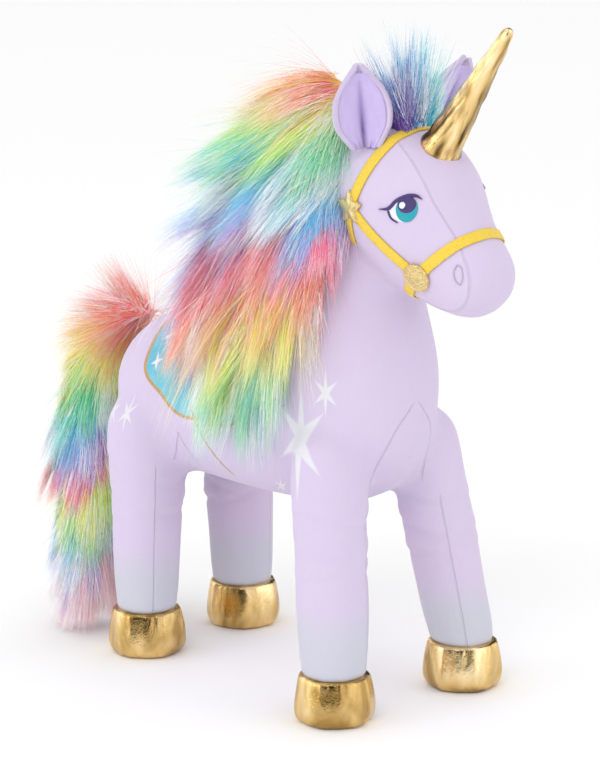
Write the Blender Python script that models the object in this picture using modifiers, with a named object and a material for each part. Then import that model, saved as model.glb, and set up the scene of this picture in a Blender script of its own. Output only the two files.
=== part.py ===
"""Plush unicorn, standing, as a sewn assembly: skins over stuffing, foil hooves and horn, fur mane
and tail, and a ribbon halter.

Frame: metres, +Z up, the unicorn faces -Y, +X is its left side. The origin is on the floor, under
the middle of the bounding box. Run it with: blender --background --python part.py
"""

import math

import bmesh
import bpy
from mathutils import Matrix, Vector

# ---- driving dimensions -------------------------------------------------------------------------
SKIN = 0.0014  # thickness of the short-pile fabric
GAP = 0.0003  # air between pieces that touch
RIBBON_WIDTH = 0.0064  # quarter-inch ribbon
RIBBON_THICK = 0.0009
CLEAR = 0.0007  # running clearance of the soft ball joints

HOOF_HEIGHT = 0.0275
SOLE_THICK = 0.003
SOLE_RADIUS = 0.0195
LEG_SWING = {"front": (-10, 10), "hind": (-4, 10)}  # degrees back and forward
NOD_DOWN, NOD_UP = 8, 8  # degrees
# Each leg's foot as x, y on the floor, and the middle of its hip ball.
LEGS = {
    "front_right": ((-0.0520, -0.0960), (-0.0385, -0.0765, 0.150)),
    "front_left": ((0.0520, -0.1000), (0.0385, -0.0780, 0.150)),
    "hind_right": ((-0.0430, 0.0830), (-0.0380, 0.0860, 0.142)),
    "hind_left": ((0.0430, 0.0880), (0.0380, 0.0880, 0.142)),
}

HEAD_PIVOT = Vector((0.0, -0.088, 0.300))
NECK_BALL = 0.0275
NECK_END_SHIFT = Vector((0.0, -0.0140, 0.0108))  # the neck's skin stops inside the head
NECK_RIM = Vector((0.0, -0.0062, 0.0051))  # room over the skin's edge as the head nods
GUSSET_WIDTH = 0.042  # of the strip under the belly
HORN_BASE = Vector((0.0, -0.1315, 0.3410))
HORN_TIP = Vector((0.0, -0.1815, 0.4125))
HORN_BASE_RADIUS, HORN_TIP_RADIUS = 0.0130, 0.0036
GUSSET_HALF = 0.018  # half-width of the strip over the forehead and muzzle
EAR_HEIGHT, EAR_HALF_WIDTH = 0.048, 0.0165
EAR_AT = (0.0325, -0.0962, 0.3380)
EAR_LEAN = {"right": 7, "left": 24}  # degrees outwards
EAR_FACING = 38  # degrees outwards from straight ahead
EAR_POCKET = 0.0098
TAIL_ROOT = Vector((0.0, 0.1170, 0.2040))
DOCK_RADIUS = 0.0052

LILAC = (0.72, 0.60, 0.84, 1.0)
INNER_LILAC = (0.60, 0.46, 0.80, 1.0)
GOLD = (0.80, 0.55, 0.18, 1.0)
YELLOW = (0.90, 0.68, 0.05, 1.0)
WHITE = (0.90, 0.90, 0.90, 1.0)
TEAL = (0.02, 0.42, 0.52, 1.0)
NAVY = (0.05, 0.03, 0.16, 1.0)
FUR = (0.80, 0.45, 0.55, 1.0)

# Each body section is the top (or back) point and the bottom (or front) point as y, z, and the
# half-width. The barrel runs from the rump to the chest and turns up into the neck.
BODY_SECTIONS = [
    ((0.1130, 0.190), (0.1160, 0.150), 0.020),
    ((0.1050, 0.204), (0.1090, 0.128), 0.037),
    ((0.0840, 0.2145), (0.0850, 0.112), 0.048),
    ((0.0500, 0.2170), (0.0460, 0.1085), 0.0510),
    ((0.0300, 0.2200), (0.0060, 0.1080), 0.0515),
    ((0.0200, 0.2265), (-0.0370, 0.1095), 0.0520),
    ((0.0100, 0.2365), (-0.0760, 0.1160), 0.0525),
    ((0.0000, 0.2490), (-0.1030, 0.1330), 0.0515),
    ((-0.0120, 0.2640), (-0.1130, 0.1580), 0.0470),
    ((-0.0230, 0.2790), (-0.1110, 0.1860), 0.0405),
    ((-0.0340, 0.2940), (-0.1070, 0.2130), 0.0355),
    ((-0.0450, 0.3060), (-0.1040, 0.2360), 0.0320),
    ((-0.0560, 0.3130), (-0.0990, 0.2610), 0.0290),
]
HEAD_SECTIONS = [
    ((-0.1805, 0.2745), (-0.1775, 0.2540), 0.0120),
    ((-0.1765, 0.2860), (-0.1655, 0.2425), 0.0222),
    ((-0.1685, 0.2965), (-0.1480, 0.2400), 0.0250),
    ((-0.1590, 0.3085), (-0.1300, 0.2440), 0.0272),
    ((-0.1500, 0.3250), (-0.1120, 0.2500), 0.0340),
    ((-0.1370, 0.3405), (-0.0930, 0.2570), 0.0392),
    ((-0.1160, 0.3525), (-0.0760, 0.2680), 0.0402),
    ((-0.0920, 0.3545), (-0.0630, 0.2840), 0.0365),
    ((-0.0740, 0.3470), (-0.0570, 0.3010), 0.0265),
    ((-0.0650, 0.3390), (-0.0570, 0.3160), 0.0130),
]
# Leg profiles, from the hoof's top to the hip: height, radius.
FRONT_LEG_PROFILE = [(0.0280, 0.0202), (0.055, 0.0222), (0.090, 0.0232), (0.122, 0.0236)]
HIND_LEG_PROFILE = [(0.0280, 0.0198), (0.055, 0.0220), (0.085, 0.0235), (0.113, 0.0258)]
FRONT_HIP_RADIUS, HIND_HIP_RADIUS = 0.0240, 0.0275
# Hoof outline below the leg, from the sole's edge to the hoof's top: radius, height.
HOOF_PROFILE = [
    (0.0200, 0.0034), (0.0220, 0.0065), (0.0226, 0.0110), (0.0224, 0.0160), (0.0214, 0.0220),
    (0.0205, HOOF_HEIGHT),
]
# Tail fur: the middle of each section, its half-widths, and the slope of its plane.
TAIL_SECTIONS = [
    ((0.0000, 0.1215, 0.2080), 0.012, 0.010, 60),
    ((-0.0030, 0.1370, 0.2040), 0.021, 0.016, 45),
    ((-0.0100, 0.1530, 0.1820), 0.026, 0.022, 22),
    ((-0.0180, 0.1625, 0.1470), 0.0275, 0.0245, 6),
    ((-0.0250, 0.1540, 0.1070), 0.0265, 0.0240, -4),
    ((-0.0310, 0.1460, 0.0670), 0.0255, 0.0225, -4),
    ((-0.0360, 0.1410, 0.0330), 0.0235, 0.0200, 0),
    ((-0.0400, 0.1380, 0.0120), 0.0190, 0.0150, 0),
]
# Mane fur: where each section stands along Y, and its lowest and highest points.
MANE_SECTIONS = [
    (-0.086, 0.205, 0.245),
    (-0.077, 0.188, 0.290),
    (-0.064, 0.170, 0.335),
    (-0.048, 0.158, 0.364),
    (-0.028, 0.146, 0.358),
    (-0.004, 0.136, 0.340),
    (0.018, 0.134, 0.318),
    (0.040, 0.152, 0.290),
    (0.058, 0.180, 0.262),
    (0.068, 0.208, 0.244),
]

COLLECTION = "plush_unicorn"
CUTTERS = "cutters"
SIDES = {"right": -1, "left": 1}


# ---- scene and object helpers -------------------------------------------------------------------
def clear_scene():
    for old in list(bpy.data.objects):
        bpy.data.objects.remove(old)
    for name in (COLLECTION, CUTTERS):
        group = bpy.data.collections.new(name)
        bpy.context.scene.collection.children.link(group)


def material(name, colour, roughness, metallic=0.0):
    found = bpy.data.materials.get(name)
    if found:
        return found
    made = bpy.data.materials.new(name)
    made.use_nodes = True
    shader = made.node_tree.nodes["Principled BSDF"]
    shader.inputs["Base Color"].default_value = colour
    shader.inputs["Roughness"].default_value = roughness
    shader.inputs["Metallic"].default_value = metallic
    return made


def add_object(name, mesh, finish=None, guide=False):
    """Links a new object. A guide shapes other pieces and isn't part of the toy."""
    obj = bpy.data.objects.new(name, mesh)
    bpy.data.collections[CUTTERS if guide else COLLECTION].objects.link(obj)
    if guide:
        obj.hide_render = True
        obj.display_type = "WIRE"
    elif finish:
        obj.data.materials.append(finish)
    return obj


def mesh_from(bm, name, smooth=True):
    bmesh.ops.recalc_face_normals(bm, faces=bm.faces)
    mesh = bpy.data.meshes.new(name)
    bm.to_mesh(mesh)
    bm.free()
    if smooth:
        mesh.shade_smooth()
    return mesh


def subdivide(obj, levels=1):
    mod = obj.modifiers.new("subdivide", "SUBSURF")
    mod.levels = levels
    mod.render_levels = levels


def offset_by(obj, distance):
    """Moves the whole surface along its normals: out if positive, in if negative."""
    mod = obj.modifiers.new("offset", "DISPLACE")
    mod.mid_level = 0.0
    mod.strength = distance


def hollow(obj, thickness=SKIN):
    mod = obj.modifiers.new("fabric", "SOLIDIFY")
    mod.thickness = thickness
    mod.offset = -1.0
    mod.use_even_offset = True


def boolean(obj, other, operation):
    mod = obj.modifiers.new(operation.lower(), "BOOLEAN")
    mod.operation = operation
    mod.object = other


def cut(obj, *cutters):
    for cutter in cutters:
        boolean(obj, cutter, "DIFFERENCE")


def keep_inside(obj, *limits):
    for limit in limits:
        boolean(obj, limit, "INTERSECT")


# ---- shape helpers ------------------------------------------------------------------------------
def loft(name, rings, open_end=False):
    """A tube through rings of points. Its start is closed, and its end unless open_end is set."""
    bm = bmesh.new()
    rows = [[bm.verts.new(point) for point in ring] for ring in rings]
    count = len(rows[0])
    for lower, upper in zip(rows, rows[1:]):
        for i in range(count):
            j = (i + 1) % count
            bm.faces.new((lower[i], lower[j], upper[j], upper[i]))
    bm.faces.new(rows[0])
    if not open_end:
        bm.faces.new(rows[-1])
    return mesh_from(bm, name)


def open_tube(name, rings):
    mesh = loft(name, rings, open_end=True)
    bm = bmesh.new()
    bm.from_mesh(mesh)
    caps = [face for face in bm.faces if len(face.verts) > 4]
    bmesh.ops.delete(bm, geom=caps, context="FACES_ONLY")
    bm.to_mesh(mesh)
    bm.free()
    return mesh


def section_ring(section, count=14):
    """An ellipse across the body, from its top point, bottom point and half-width."""
    (top_y, top_z), (low_y, low_z), half_width = section
    top, low = Vector((0, top_y, top_z)), Vector((0, low_y, low_z))
    middle, arm = (top + low) / 2, (top - low) / 2
    turns = [math.tau * i / count for i in range(count)]
    return [middle + arm * math.cos(t) + Vector((half_width * math.sin(t), 0, 0)) for t in turns]


def circle_ring(centre, radius, count=12, radius_y=None):
    depth = radius if radius_y is None else radius_y
    turns = [math.tau * i / count for i in range(count)]
    return [Vector(centre) + Vector((radius * math.cos(t), depth * math.sin(t), 0)) for t in turns]


def ball(name, centre, radius):
    bm = bmesh.new()
    bmesh.ops.create_uvsphere(bm, u_segments=16, v_segments=10, radius=radius)
    obj = add_object(name, mesh_from(bm, name), guide=True)
    obj.location = centre
    return obj


def box(name, low, high):
    bm = bmesh.new()
    bmesh.ops.create_cube(bm, size=1)
    low, high = Vector(low), Vector(high)
    place = Matrix.Translation((low + high) / 2) @ Matrix.Diagonal((*(high - low), 1))
    bmesh.ops.transform(bm, matrix=place, verts=bm.verts)
    return add_object(name, mesh_from(bm, name, smooth=False), guide=True)


def slab(name, start, end, width, x_range=(-0.1, 0.1), past=0.0):
    """A box whose middle plane runs from start to end (points y, z) and lies along X."""
    start, end = Vector((0, *start)), Vector((0, *end))
    along = (end - start).normalized()
    across = Vector((1, 0, 0)).cross(along)
    length = (end - start).length + 2 * past
    obj = box(name, (x_range[0], -length / 2, -width / 2), (x_range[1], length / 2, width / 2))
    turn = Matrix((Vector((1, 0, 0)), along, across)).transposed().to_4x4()
    obj.matrix_world = Matrix.Translation((start + end) / 2) @ turn
    return obj


def turned(name, profile, finish, closed=True, steps=18):
    """A solid turned about Z from a closed profile of (radius, height) points."""
    mesh = bpy.data.meshes.new(name)
    edges = [(i, i + 1) for i in range(len(profile) - 1)]
    if closed:
        edges.append((len(profile) - 1, 0))
    mesh.from_pydata([(r, 0, z) for r, z in profile], edges, [])
    obj = add_object(name, mesh, finish)
    mod = obj.modifiers.new("turn", "SCREW")
    mod.steps = mod.render_steps = steps
    mod.use_merge_vertices = True
    mod.merge_threshold = 0.0001
    mod.use_smooth_shade = True
    return obj


def turned_about(obj, pivot, degrees):
    """Turns an object about the X axis through a pivot."""
    spin = Matrix.Rotation(math.radians(degrees), 4, "X")
    move = Matrix.Translation(pivot)
    obj.matrix_world = move @ spin @ move.inverted() @ obj.matrix_world


# ---- legs ---------------------------------------------------------------------------------------
def leg_centre(hip, foot, z):
    """The leg's middle at height z, on the line from the hoof's top to the hip."""
    share = (z - HOOF_HEIGHT) / (hip.z - HOOF_HEIGHT)
    return Vector((foot.x + (hip.x - foot.x) * share, foot.y + (hip.y - foot.y) * share, z))


def ball_rings(centre, radius):
    """Rings over the top of a ball, from just under its middle."""
    heights = [-0.2 + 1.17 * i / 4 for i in range(5)]
    return [
        circle_ring(centre + Vector((0, 0, radius * h)), radius * math.sqrt(1 - h * h))
        for h in heights
    ]


def leg_rings(profile, hip, foot, hip_radius, shrink=0.0):
    rings = [circle_ring(leg_centre(hip, foot, z), r - shrink) for z, r in profile]
    return rings + ball_rings(hip, hip_radius - shrink)


def hoof_rings(foot, shrink):
    """Rings for the stuffing inside the hoof."""
    return [circle_ring((foot.x, foot.y, z), r - shrink) for r, z in HOOF_PROFILE[:-1]]


def leg_sweep(name, profile, hip, foot, hip_radius, swing):
    """What a leg takes up as it swings: the leg, grown fore and aft the further it is from the hip."""
    back, forward = (math.tan(math.radians(abs(angle))) for angle in swing)
    rings = []
    for z, radius in profile:
        centre = leg_centre(hip, foot, z)
        reach = hip.z - z
        room = radius + CLEAR * 1.5
        middle = centre + Vector((0, reach * (back - forward) / 2, 0))
        rings.append(circle_ring(middle, room, 20, room + reach * (back + forward) / 2))
    full = hip_radius + CLEAR
    for angle, spare in ((-14, 0.0035), (5, 0.0010), (22, 0), (39, 0), (56, 0), (74, 0)):
        rise, radius = full * math.sin(math.radians(angle)), full * math.cos(math.radians(angle))
        rings.append(circle_ring(hip + Vector((0, 0, rise)), radius + spare / 4, 20, radius + spare))
    return add_object(name, loft(name, rings), guide=True)


def make_leg(label, body_cutters):
    """One leg: skin, foil hoof, sole and stuffing. It adds the cutter that frees it to swing."""
    end = label.split("_")[0]
    (x, y), hip = LEGS[label]
    hip, foot = Vector(hip), Vector((x, y, 0))
    profile = FRONT_LEG_PROFILE if end == "front" else HIND_LEG_PROFILE
    hip_radius = FRONT_HIP_RADIUS if end == "front" else HIND_HIP_RADIUS
    lilac = material("lilac_plush", LILAC, 0.9)
    foil = material("gold_foil", GOLD, 0.3, 0.9)
    fibre = material("fibrefill", WHITE, 1.0)

    rings = leg_rings(profile, hip, foot, hip_radius)
    skin = add_object(f"leg_skin_{label}", open_tube("leg_skin", rings[: len(profile) + 4]), lilac)
    hollow(skin)
    inner = hoof_rings(foot, SKIN + GAP * 2) + leg_rings(profile, hip, foot, hip_radius, SKIN + GAP)
    add_object(f"leg_stuffing_{label}", loft("leg_stuffing", inner), fibre)

    inside = [(r - SKIN, z) for r, z in HOOF_PROFILE]
    hoof = turned(f"hoof_cover_{label}", HOOF_PROFILE[::-1] + inside, foil)
    hoof.location = foot
    edge = [
        (0, SOLE_THICK), (SOLE_RADIUS, SOLE_THICK), (SOLE_RADIUS + 0.0005, SOLE_THICK / 2),
        (SOLE_RADIUS - 0.001, 0), (0, 0),
    ]
    sole = turned(f"hoof_sole_{label}", edge, foil, closed=False)
    sole.location = foot
    body_cutters.append(leg_sweep(f"leg_room_{label}", profile, hip, foot, hip_radius, LEG_SWING[end]))


# ---- body and neck ------------------------------------------------------------------------------
def body_rings():
    return [section_ring(section) for section in BODY_SECTIONS]


def neck_top_rings(ball_radius=NECK_BALL, count=14):
    """Rings that close the neck as a ball around the head's pivot."""
    (back_y, back_z), (front_y, front_z), _ = BODY_SECTIONS[-1]
    slope = math.atan2(back_z - front_z, back_y - front_y)
    rings = []
    for rise in (0.15, 0.5, 0.8, 0.96):
        radius = ball_radius * math.sqrt(1 - rise * rise)
        normal = Vector((0, -math.sin(slope), math.cos(slope)))
        centre = HEAD_PIVOT + normal * (ball_radius * rise)
        arm = Vector((0, math.cos(slope), math.sin(slope))) * radius
        turns = [math.tau * i / count for i in range(count)]
        rings.append([centre + arm * math.cos(t) + Vector((radius * math.sin(t), 0, 0)) for t in turns])
    return rings


def make_body(leg_cutters):
    """Two side panels, the belly gusset and the stuffing. The panels are cut from one skin."""
    lilac = material("lilac_plush", LILAC, 0.9)
    low, high = Vector((-GUSSET_WIDTH / 2, -0.16, 0.0)), Vector((GUSSET_WIDTH / 2, 0.102, 0.135))
    margin = Vector((GAP, GAP, GAP))
    under = box("gusset_box", low, high)
    around = box("gusset_room", low - margin, high + margin)
    neck_end = slab("neck_end", (-0.062, 0.322), (-0.108, 0.260), 0.04, past=0.02)
    neck_end.matrix_world = Matrix.Translation(NECK_END_SHIFT) @ neck_end.matrix_world
    core = body_guide("body_core", -SKIN)
    limits = {
        "side_panel_right": box("right_half", (-0.2, -0.3, 0), (-GAP / 2, 0.3, 0.5)),
        "side_panel_left": box("left_half", (GAP / 2, -0.3, 0), (0.2, 0.3, 0.5)),
        "belly_gusset": under,
    }
    for name, limit in limits.items():
        panel = body_solid(name, 0.0, finish=lilac)
        cut(panel, *leg_cutters, neck_end)
        keep_inside(panel, limit)
        if name != "belly_gusset":
            cut(panel, around)
        cut(panel, core)
    filling = body_solid("body_stuffing", -(SKIN + GAP), finish=material("fibrefill", WHITE, 1.0))
    cut(filling, *leg_cutters)


def body_solid(name, distance, guide=False, finish=None):
    """The body and neck as one solid, grown by a distance."""
    obj = add_object(name, loft(name, body_rings() + neck_top_rings()), finish, guide)
    subdivide(obj)
    if distance:
        offset_by(obj, distance)
    return obj


def body_guide(name, distance):
    return body_solid(name, distance, guide=True)


# ---- head ---------------------------------------------------------------------------------------
def head_solid(name, guide, distance=0.0, finish=None):
    rings = [section_ring(section) for section in HEAD_SECTIONS]
    obj = add_object(name, loft(name, rings), finish, guide)
    subdivide(obj)
    if distance:
        offset_by(obj, distance)
    return obj


def neck_sweep():
    """What the neck takes up in the head's own frame as the head nods."""
    back = Matrix.Rotation(math.radians(NOD_UP), 3, "X")
    front = Matrix.Rotation(-math.radians(NOD_DOWN), 3, "X")
    rings = []
    for (top_y, top_z), (low_y, low_z), half_width in BODY_SECTIONS[8:]:
        top, low = Vector((0, top_y, top_z)), Vector((0, low_y, low_z))
        outward = (top - low).normalized() * CLEAR * 2
        top = HEAD_PIVOT + back @ (top - HEAD_PIVOT) + outward
        low = HEAD_PIVOT + front @ (low - HEAD_PIVOT) - outward * 1.5
        middle, arm = (top + low) / 2, (top - low) / 2
        wide = half_width + CLEAR * 1.5
        turns = [math.tau * i / 20 for i in range(20)]
        rings.append([middle + arm * math.cos(t) + Vector((wide * math.sin(t), 0, 0)) for t in turns])
    rings.append([point + NECK_RIM for point in rings[-1]])
    rings += neck_top_rings(NECK_BALL + CLEAR, 20)
    return [add_object("neck_room", loft("neck_room", rings), guide=True)]


def make_head(sweep):
    """A side panel each side, the long gusset from poll to chin, and the stuffing."""
    lilac = material("lilac_plush", LILAC, 0.9)
    pockets = [ball("horn_pocket", HORN_BASE, HORN_BASE_RADIUS - SKIN + CLEAR)]
    pockets += [ball(f"ear_pocket_{side}", ear_base(side), EAR_POCKET) for side in SIDES]
    limits = {
        "head_side_right": box("head_right", (-0.1, -0.25, 0.2), (-GUSSET_HALF - GAP, 0, 0.4)),
        "head_side_left": box("head_left", (GUSSET_HALF + GAP, -0.25, 0.2), (0.1, 0, 0.4)),
        "head_gusset": box("head_middle", (-GUSSET_HALF, -0.25, 0.2), (GUSSET_HALF, 0, 0.4)),
    }
    core = head_solid("head_core", True, -SKIN)
    for name, limit in limits.items():
        panel = head_solid(name, False, finish=lilac)
        keep_inside(panel, limit)
        cut(panel, *pockets, *sweep, core)
    filling = head_solid("head_stuffing", False, -(SKIN + GAP), material("fibrefill", WHITE, 1.0))
    cut(filling, *pockets, *sweep)


def on_head(cutter, low, high):
    """Turns a cutter into a thin piece lying on the head, from low to high above its surface."""
    keep_inside(cutter, high)
    cut(cutter, low)


def show(obj, name, finish):
    """Makes a shaping box into a part of the toy."""
    bpy.data.collections[CUTTERS].objects.unlink(obj)
    bpy.data.collections[COLLECTION].objects.link(obj)
    obj.name = name
    obj.hide_render = False
    obj.display_type = "TEXTURED"
    obj.data.materials.append(finish)
    return obj


def make_halter(sweep):
    """Crown band, noseband, cheek and throat straps, two medallions and two side stars."""
    ribbon = material("yellow_ribbon", YELLOW, 0.55)
    foil = material("gold_foil", GOLD, 0.3, 0.9)
    low = head_solid("head_ribbon_low", True, GAP)
    high = head_solid("head_ribbon_high", True, GAP + RIBBON_THICK)
    side_star, medal = (-0.094, 0.304), (-0.1405, 0.2685)
    crown_top, nose_top = (-0.1170, 0.3580), (-0.1725, 0.3000)

    crown = slab("crown_cut", crown_top, side_star, RIBBON_WIDTH, past=0.0035)
    on_head(crown, low, high)
    show(crown, "crown_band", ribbon)
    nose = slab("nose_cut", nose_top, medal, RIBBON_WIDTH, past=0.035)
    on_head(nose, low, high)
    cut(nose, *sweep)
    show(nose, "noseband", ribbon)
    for side, sign in SIDES.items():
        span = (0.01, 0.1) if sign > 0 else (-0.1, -0.01)
        start = Vector(side_star)
        end = Vector(medal)
        along = (end - start).normalized()
        cheek = slab("cheek_cut", start + along * 0.0085, end - along * 0.0055, RIBBON_WIDTH, span)
        on_head(cheek, low, high)
        show(cheek, f"cheek_strap_{side}", ribbon)
        throat = slab("throat_cut", (-0.0935, 0.2985), (-0.0925, 0.2700), RIBBON_WIDTH * 0.8, span)
        on_head(throat, low, high)
        cut(throat, *sweep)
        show(throat, f"throat_strap_{side}", ribbon)
        place_badge(f"medallion_{side}", medal_disc, sign, medal, 0.0285, foil, (0.25, -0.35))
        place_badge(f"side_star_{side}", star_plate, sign, side_star, 0.0402, foil, (0.30, 0.10))


def place_badge(name, make, sign, at, x, finish, lean):
    """Stands a flat badge on the head's side, its face turned out, forward and down."""
    obj = make(name, finish)
    facing = Vector((sign, lean[1], -lean[0])).normalized()
    turn = facing.to_track_quat("Z", "Y").to_matrix().to_4x4()
    obj.matrix_world = Matrix.Translation((sign * (x + 0.0022), *at)) @ turn


def medal_disc(name, finish):
    profile = [
        (0, 0.0026), (0.005, 0.0023), (0.0076, 0.0012), (0.0080, 0.0), (0.0074, -0.0006), (0, -0.0006),
    ]
    return turned(name, profile, finish, closed=False, steps=18)


def star_plate(name, finish):
    bm = bmesh.new()
    points = 5
    corners = []
    for i in range(points * 2):
        radius = 0.0095 if i % 2 == 0 else 0.0048
        angle = math.pi * i / points + math.pi / 2
        corners.append(bm.verts.new((radius * math.cos(angle), radius * math.sin(angle), 0)))
    face = bm.faces.new(corners)
    risen = bmesh.ops.extrude_face_region(bm, geom=[face])
    tops = [v for v in risen["geom"] if isinstance(v, bmesh.types.BMVert)]
    bmesh.ops.translate(bm, vec=(0, 0, 0.0018), verts=tops)
    return add_object(name, mesh_from(bm, name, smooth=False), finish)


def outline_prism(name, points, sign, at, x_range):
    """A prism along X with an outline given in the YZ plane about a point."""
    bm = bmesh.new()
    near = [bm.verts.new((sign * x_range[0], at[0] + y, at[1] + z)) for y, z in points]
    far = [bm.verts.new((sign * x_range[1], at[0] + y, at[1] + z)) for y, z in points]
    bm.faces.new(near)
    bm.faces.new(far)
    for i in range(len(points)):
        j = (i + 1) % len(points)
        bm.faces.new((near[i], near[j], far[j], far[i]))
    return add_object(name, mesh_from(bm, name, smooth=False), guide=True)


def ellipse_points(half_y, half_z, count=16, middle=(0, 0)):
    turns = [math.tau * i / count for i in range(count)]
    return [(middle[0] + half_y * math.cos(t), middle[1] + half_z * math.sin(t)) for t in turns]


def make_face():
    """Embroidered eyes and nostrils: thin patches of thread on the skin."""
    eye_at, nostril_at = (-0.1310, 0.3085), (-0.1635, 0.2725)
    low, high = head_solid("thread_low", True, GAP), head_solid("thread_high", True, GAP + 0.0006)
    upper_low = head_solid("iris_low", True, GAP * 2 + 0.0006)
    upper_high = head_solid("iris_high", True, GAP * 2 + 0.0012)
    lash = [
        (0.0150, 0.0005), (0.0075, 0.0040), (0.0010, 0.0075), (-0.0055, 0.0085), (-0.0105, 0.0068),
        (-0.0080, 0.0000), (-0.0045, -0.0070), (0.0020, -0.0078), (0.0065, -0.0055), (0.0095, -0.0010),
    ]
    for side, sign in SIDES.items():
        eye = outline_prism("eye_cut", lash, sign, eye_at, (0.015, 0.08))
        on_head(eye, low, high)
        show(eye, f"eye_patch_{side}", material("white_thread", WHITE, 0.6))
        oval = ellipse_points(0.0050, 0.0062, 14, (-0.002, 0))
        iris = outline_prism("iris_cut", oval, sign, eye_at, (0.015, 0.08))
        on_head(iris, upper_low, upper_high)
        show(iris, f"eye_iris_{side}", material("teal_thread", TEAL, 0.5))
        slit = ellipse_points(0.0022, 0.0042, 10)
        nostril = outline_prism("nostril_cut", slit, sign, nostril_at, (0.010, 0.05))
        on_head(nostril, low, high)
        show(nostril, f"nostril_{side}", material("lilac_thread", INNER_LILAC, 0.6))


# ---- ears, horn, forelock -----------------------------------------------------------------------
def ear_sheet(name, scale, lift, thickness, finish):
    """A cupped leaf standing on the XY plane, its hollow towards -Y. Scale trims it at the edge."""
    count = 7
    bm = bmesh.new()
    grid = []
    for i in range(count):
        v = 0.5 + (i / (count - 1) - 0.5) * scale
        half = EAR_HALF_WIDTH * math.sin(math.pi * (0.13 + 0.80 * v)) ** 0.8 * (1 - 0.45 * v**6)
        line = []
        for j in range(count):
            u = (2 * j / (count - 1) - 1) * scale
            cup = 0.0075 * (1 - u * u) * (1 - 0.45 * v) - 0.0035
            line.append(bm.verts.new((u * half, cup - lift, v * EAR_HEIGHT)))
        grid.append(line)
    for lower, upper in zip(grid, grid[1:]):
        for j in range(count - 1):
            bm.faces.new((lower[j], lower[j + 1], upper[j + 1], upper[j]))
    obj = add_object(name, mesh_from(bm, name), finish)
    mod = obj.modifiers.new("fabric", "SOLIDIFY")
    mod.thickness = thickness
    mod.offset = 0.0
    return obj


def ear_base(side):
    """The middle of the ear's root, where it hinges."""
    return Vector((SIDES[side] * EAR_AT[0], EAR_AT[1], EAR_AT[2]))


def ear_turn(side):
    lean = Matrix.Rotation(SIDES[side] * math.radians(EAR_LEAN[side]), 4, "Y")
    return lean @ Matrix.Rotation(SIDES[side] * math.radians(EAR_FACING), 4, "Z")


def make_ears():
    lilac = material("lilac_plush", LILAC, 0.9)
    darker = material("inner_lilac", INNER_LILAC, 0.9)
    for side in SIDES:
        place = Matrix.Translation(ear_base(side)) @ ear_turn(side)
        outer = ear_sheet(f"ear_outer_{side}", 1.0, 0.0, 0.0026, lilac)
        outer.matrix_world = place
        inner = ear_sheet(f"ear_lining_{side}", 0.82, 0.0038, 0.0014, darker)
        inner.matrix_world = place


def make_horn():
    """A stitched foil cone over a stuffed core whose foot is a ball in the head's pocket."""
    axis = HORN_TIP - HORN_BASE
    length = axis.length
    steps = 5
    outer = []
    for i in range(steps + 1):
        share = i / steps
        radius = HORN_BASE_RADIUS + (HORN_TIP_RADIUS - HORN_BASE_RADIUS) * share
        outer.append((radius, 0.0012 + (length - 0.0048) * share))
    outer += [(HORN_TIP_RADIUS * 0.7, length - 0.0012), (0, length)]
    inner = [(max(r - SKIN, 0), z) for r, z in outer[:-2]] + [(0, length - 0.0055)]
    foil = material("gold_foil", GOLD, 0.3, 0.9)
    cover = turned("horn_cover", outer[::-1] + inner, foil, closed=False)
    core = [(0, length - 0.0062)]
    core += [(max(r - SKIN - GAP, 0.001), z) for r, z in outer[-4:0:-1]]
    ball_radius = HORN_BASE_RADIUS - SKIN - GAP
    core += [
        (ball_radius * math.cos(a), -ball_radius * math.sin(a))
        for a in [math.pi / 2 * i / 5 for i in range(5)]
    ]
    core += [(0, -ball_radius)]
    filling = turned("horn_stuffing", core, material("fibrefill", WHITE, 1.0), closed=False)
    turn = axis.to_track_quat("Z", "Y").to_matrix().to_4x4()
    for obj in (cover, filling):
        obj.matrix_world = Matrix.Translation(HORN_BASE) @ turn


def make_forelock():
    """A tuft of fur between the ears, fanning up from a narrow root."""
    low = head_solid("forelock_low", True, GAP + RIBBON_THICK + GAP)
    levels = [
        (0.344, 0.0100, 0.0060), (0.352, 0.0130, 0.0065), (0.362, 0.0150, 0.0080),
        (0.376, 0.0130, 0.0070), (0.387, 0.0060, 0.0035),
    ]
    rings = [circle_ring((0, -0.1000 - (z - 0.344) * 0.25, z), rx, 12, ry) for z, rx, ry in levels]
    tuft = add_object("forelock_fur", loft("forelock_fur", rings), material("rainbow_fur", FUR, 0.8))
    subdivide(tuft)
    cut(tuft, low)


# ---- mane and tail ------------------------------------------------------------------------------
def mane_ring(section, count=16):
    """A slanted oval: over the crest at the top, outside the right shoulder at the bottom."""
    y, low, high = section
    outline = []
    for i in range(count):
        t = math.tau * i / count
        x = -0.0330 + 0.0240 * math.sin(t) + 0.0155 * math.cos(t)
        z = (low + high) / 2 + (high - low) / 2 * math.sin(t)
        outline.append(Vector((x, y, z)))
    return outline


def make_mane(sweep_head):
    """The fur's volume over the crest and the right side of the neck, and its backing strip."""
    fur = material("rainbow_fur", FUR, 0.8)
    rings = [mane_ring(section) for section in MANE_SECTIONS]
    volume = add_object("mane_fur", loft("mane_fur", rings), fur)
    subdivide(volume)
    cut(volume, body_guide("body_under_mane", GAP + 0.0016), *sweep_head)
    strip = slab("backing_cut", (0.050, 0.226), (-0.030, 0.310), 0.060, (-0.007, 0.007))
    keep_inside(strip, body_guide("body_backing_high", GAP + 0.0010))
    cut(strip, body_guide("body_backing_low", GAP))
    show(strip, "mane_backing", material("fur_backing", WHITE, 1.0))


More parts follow.
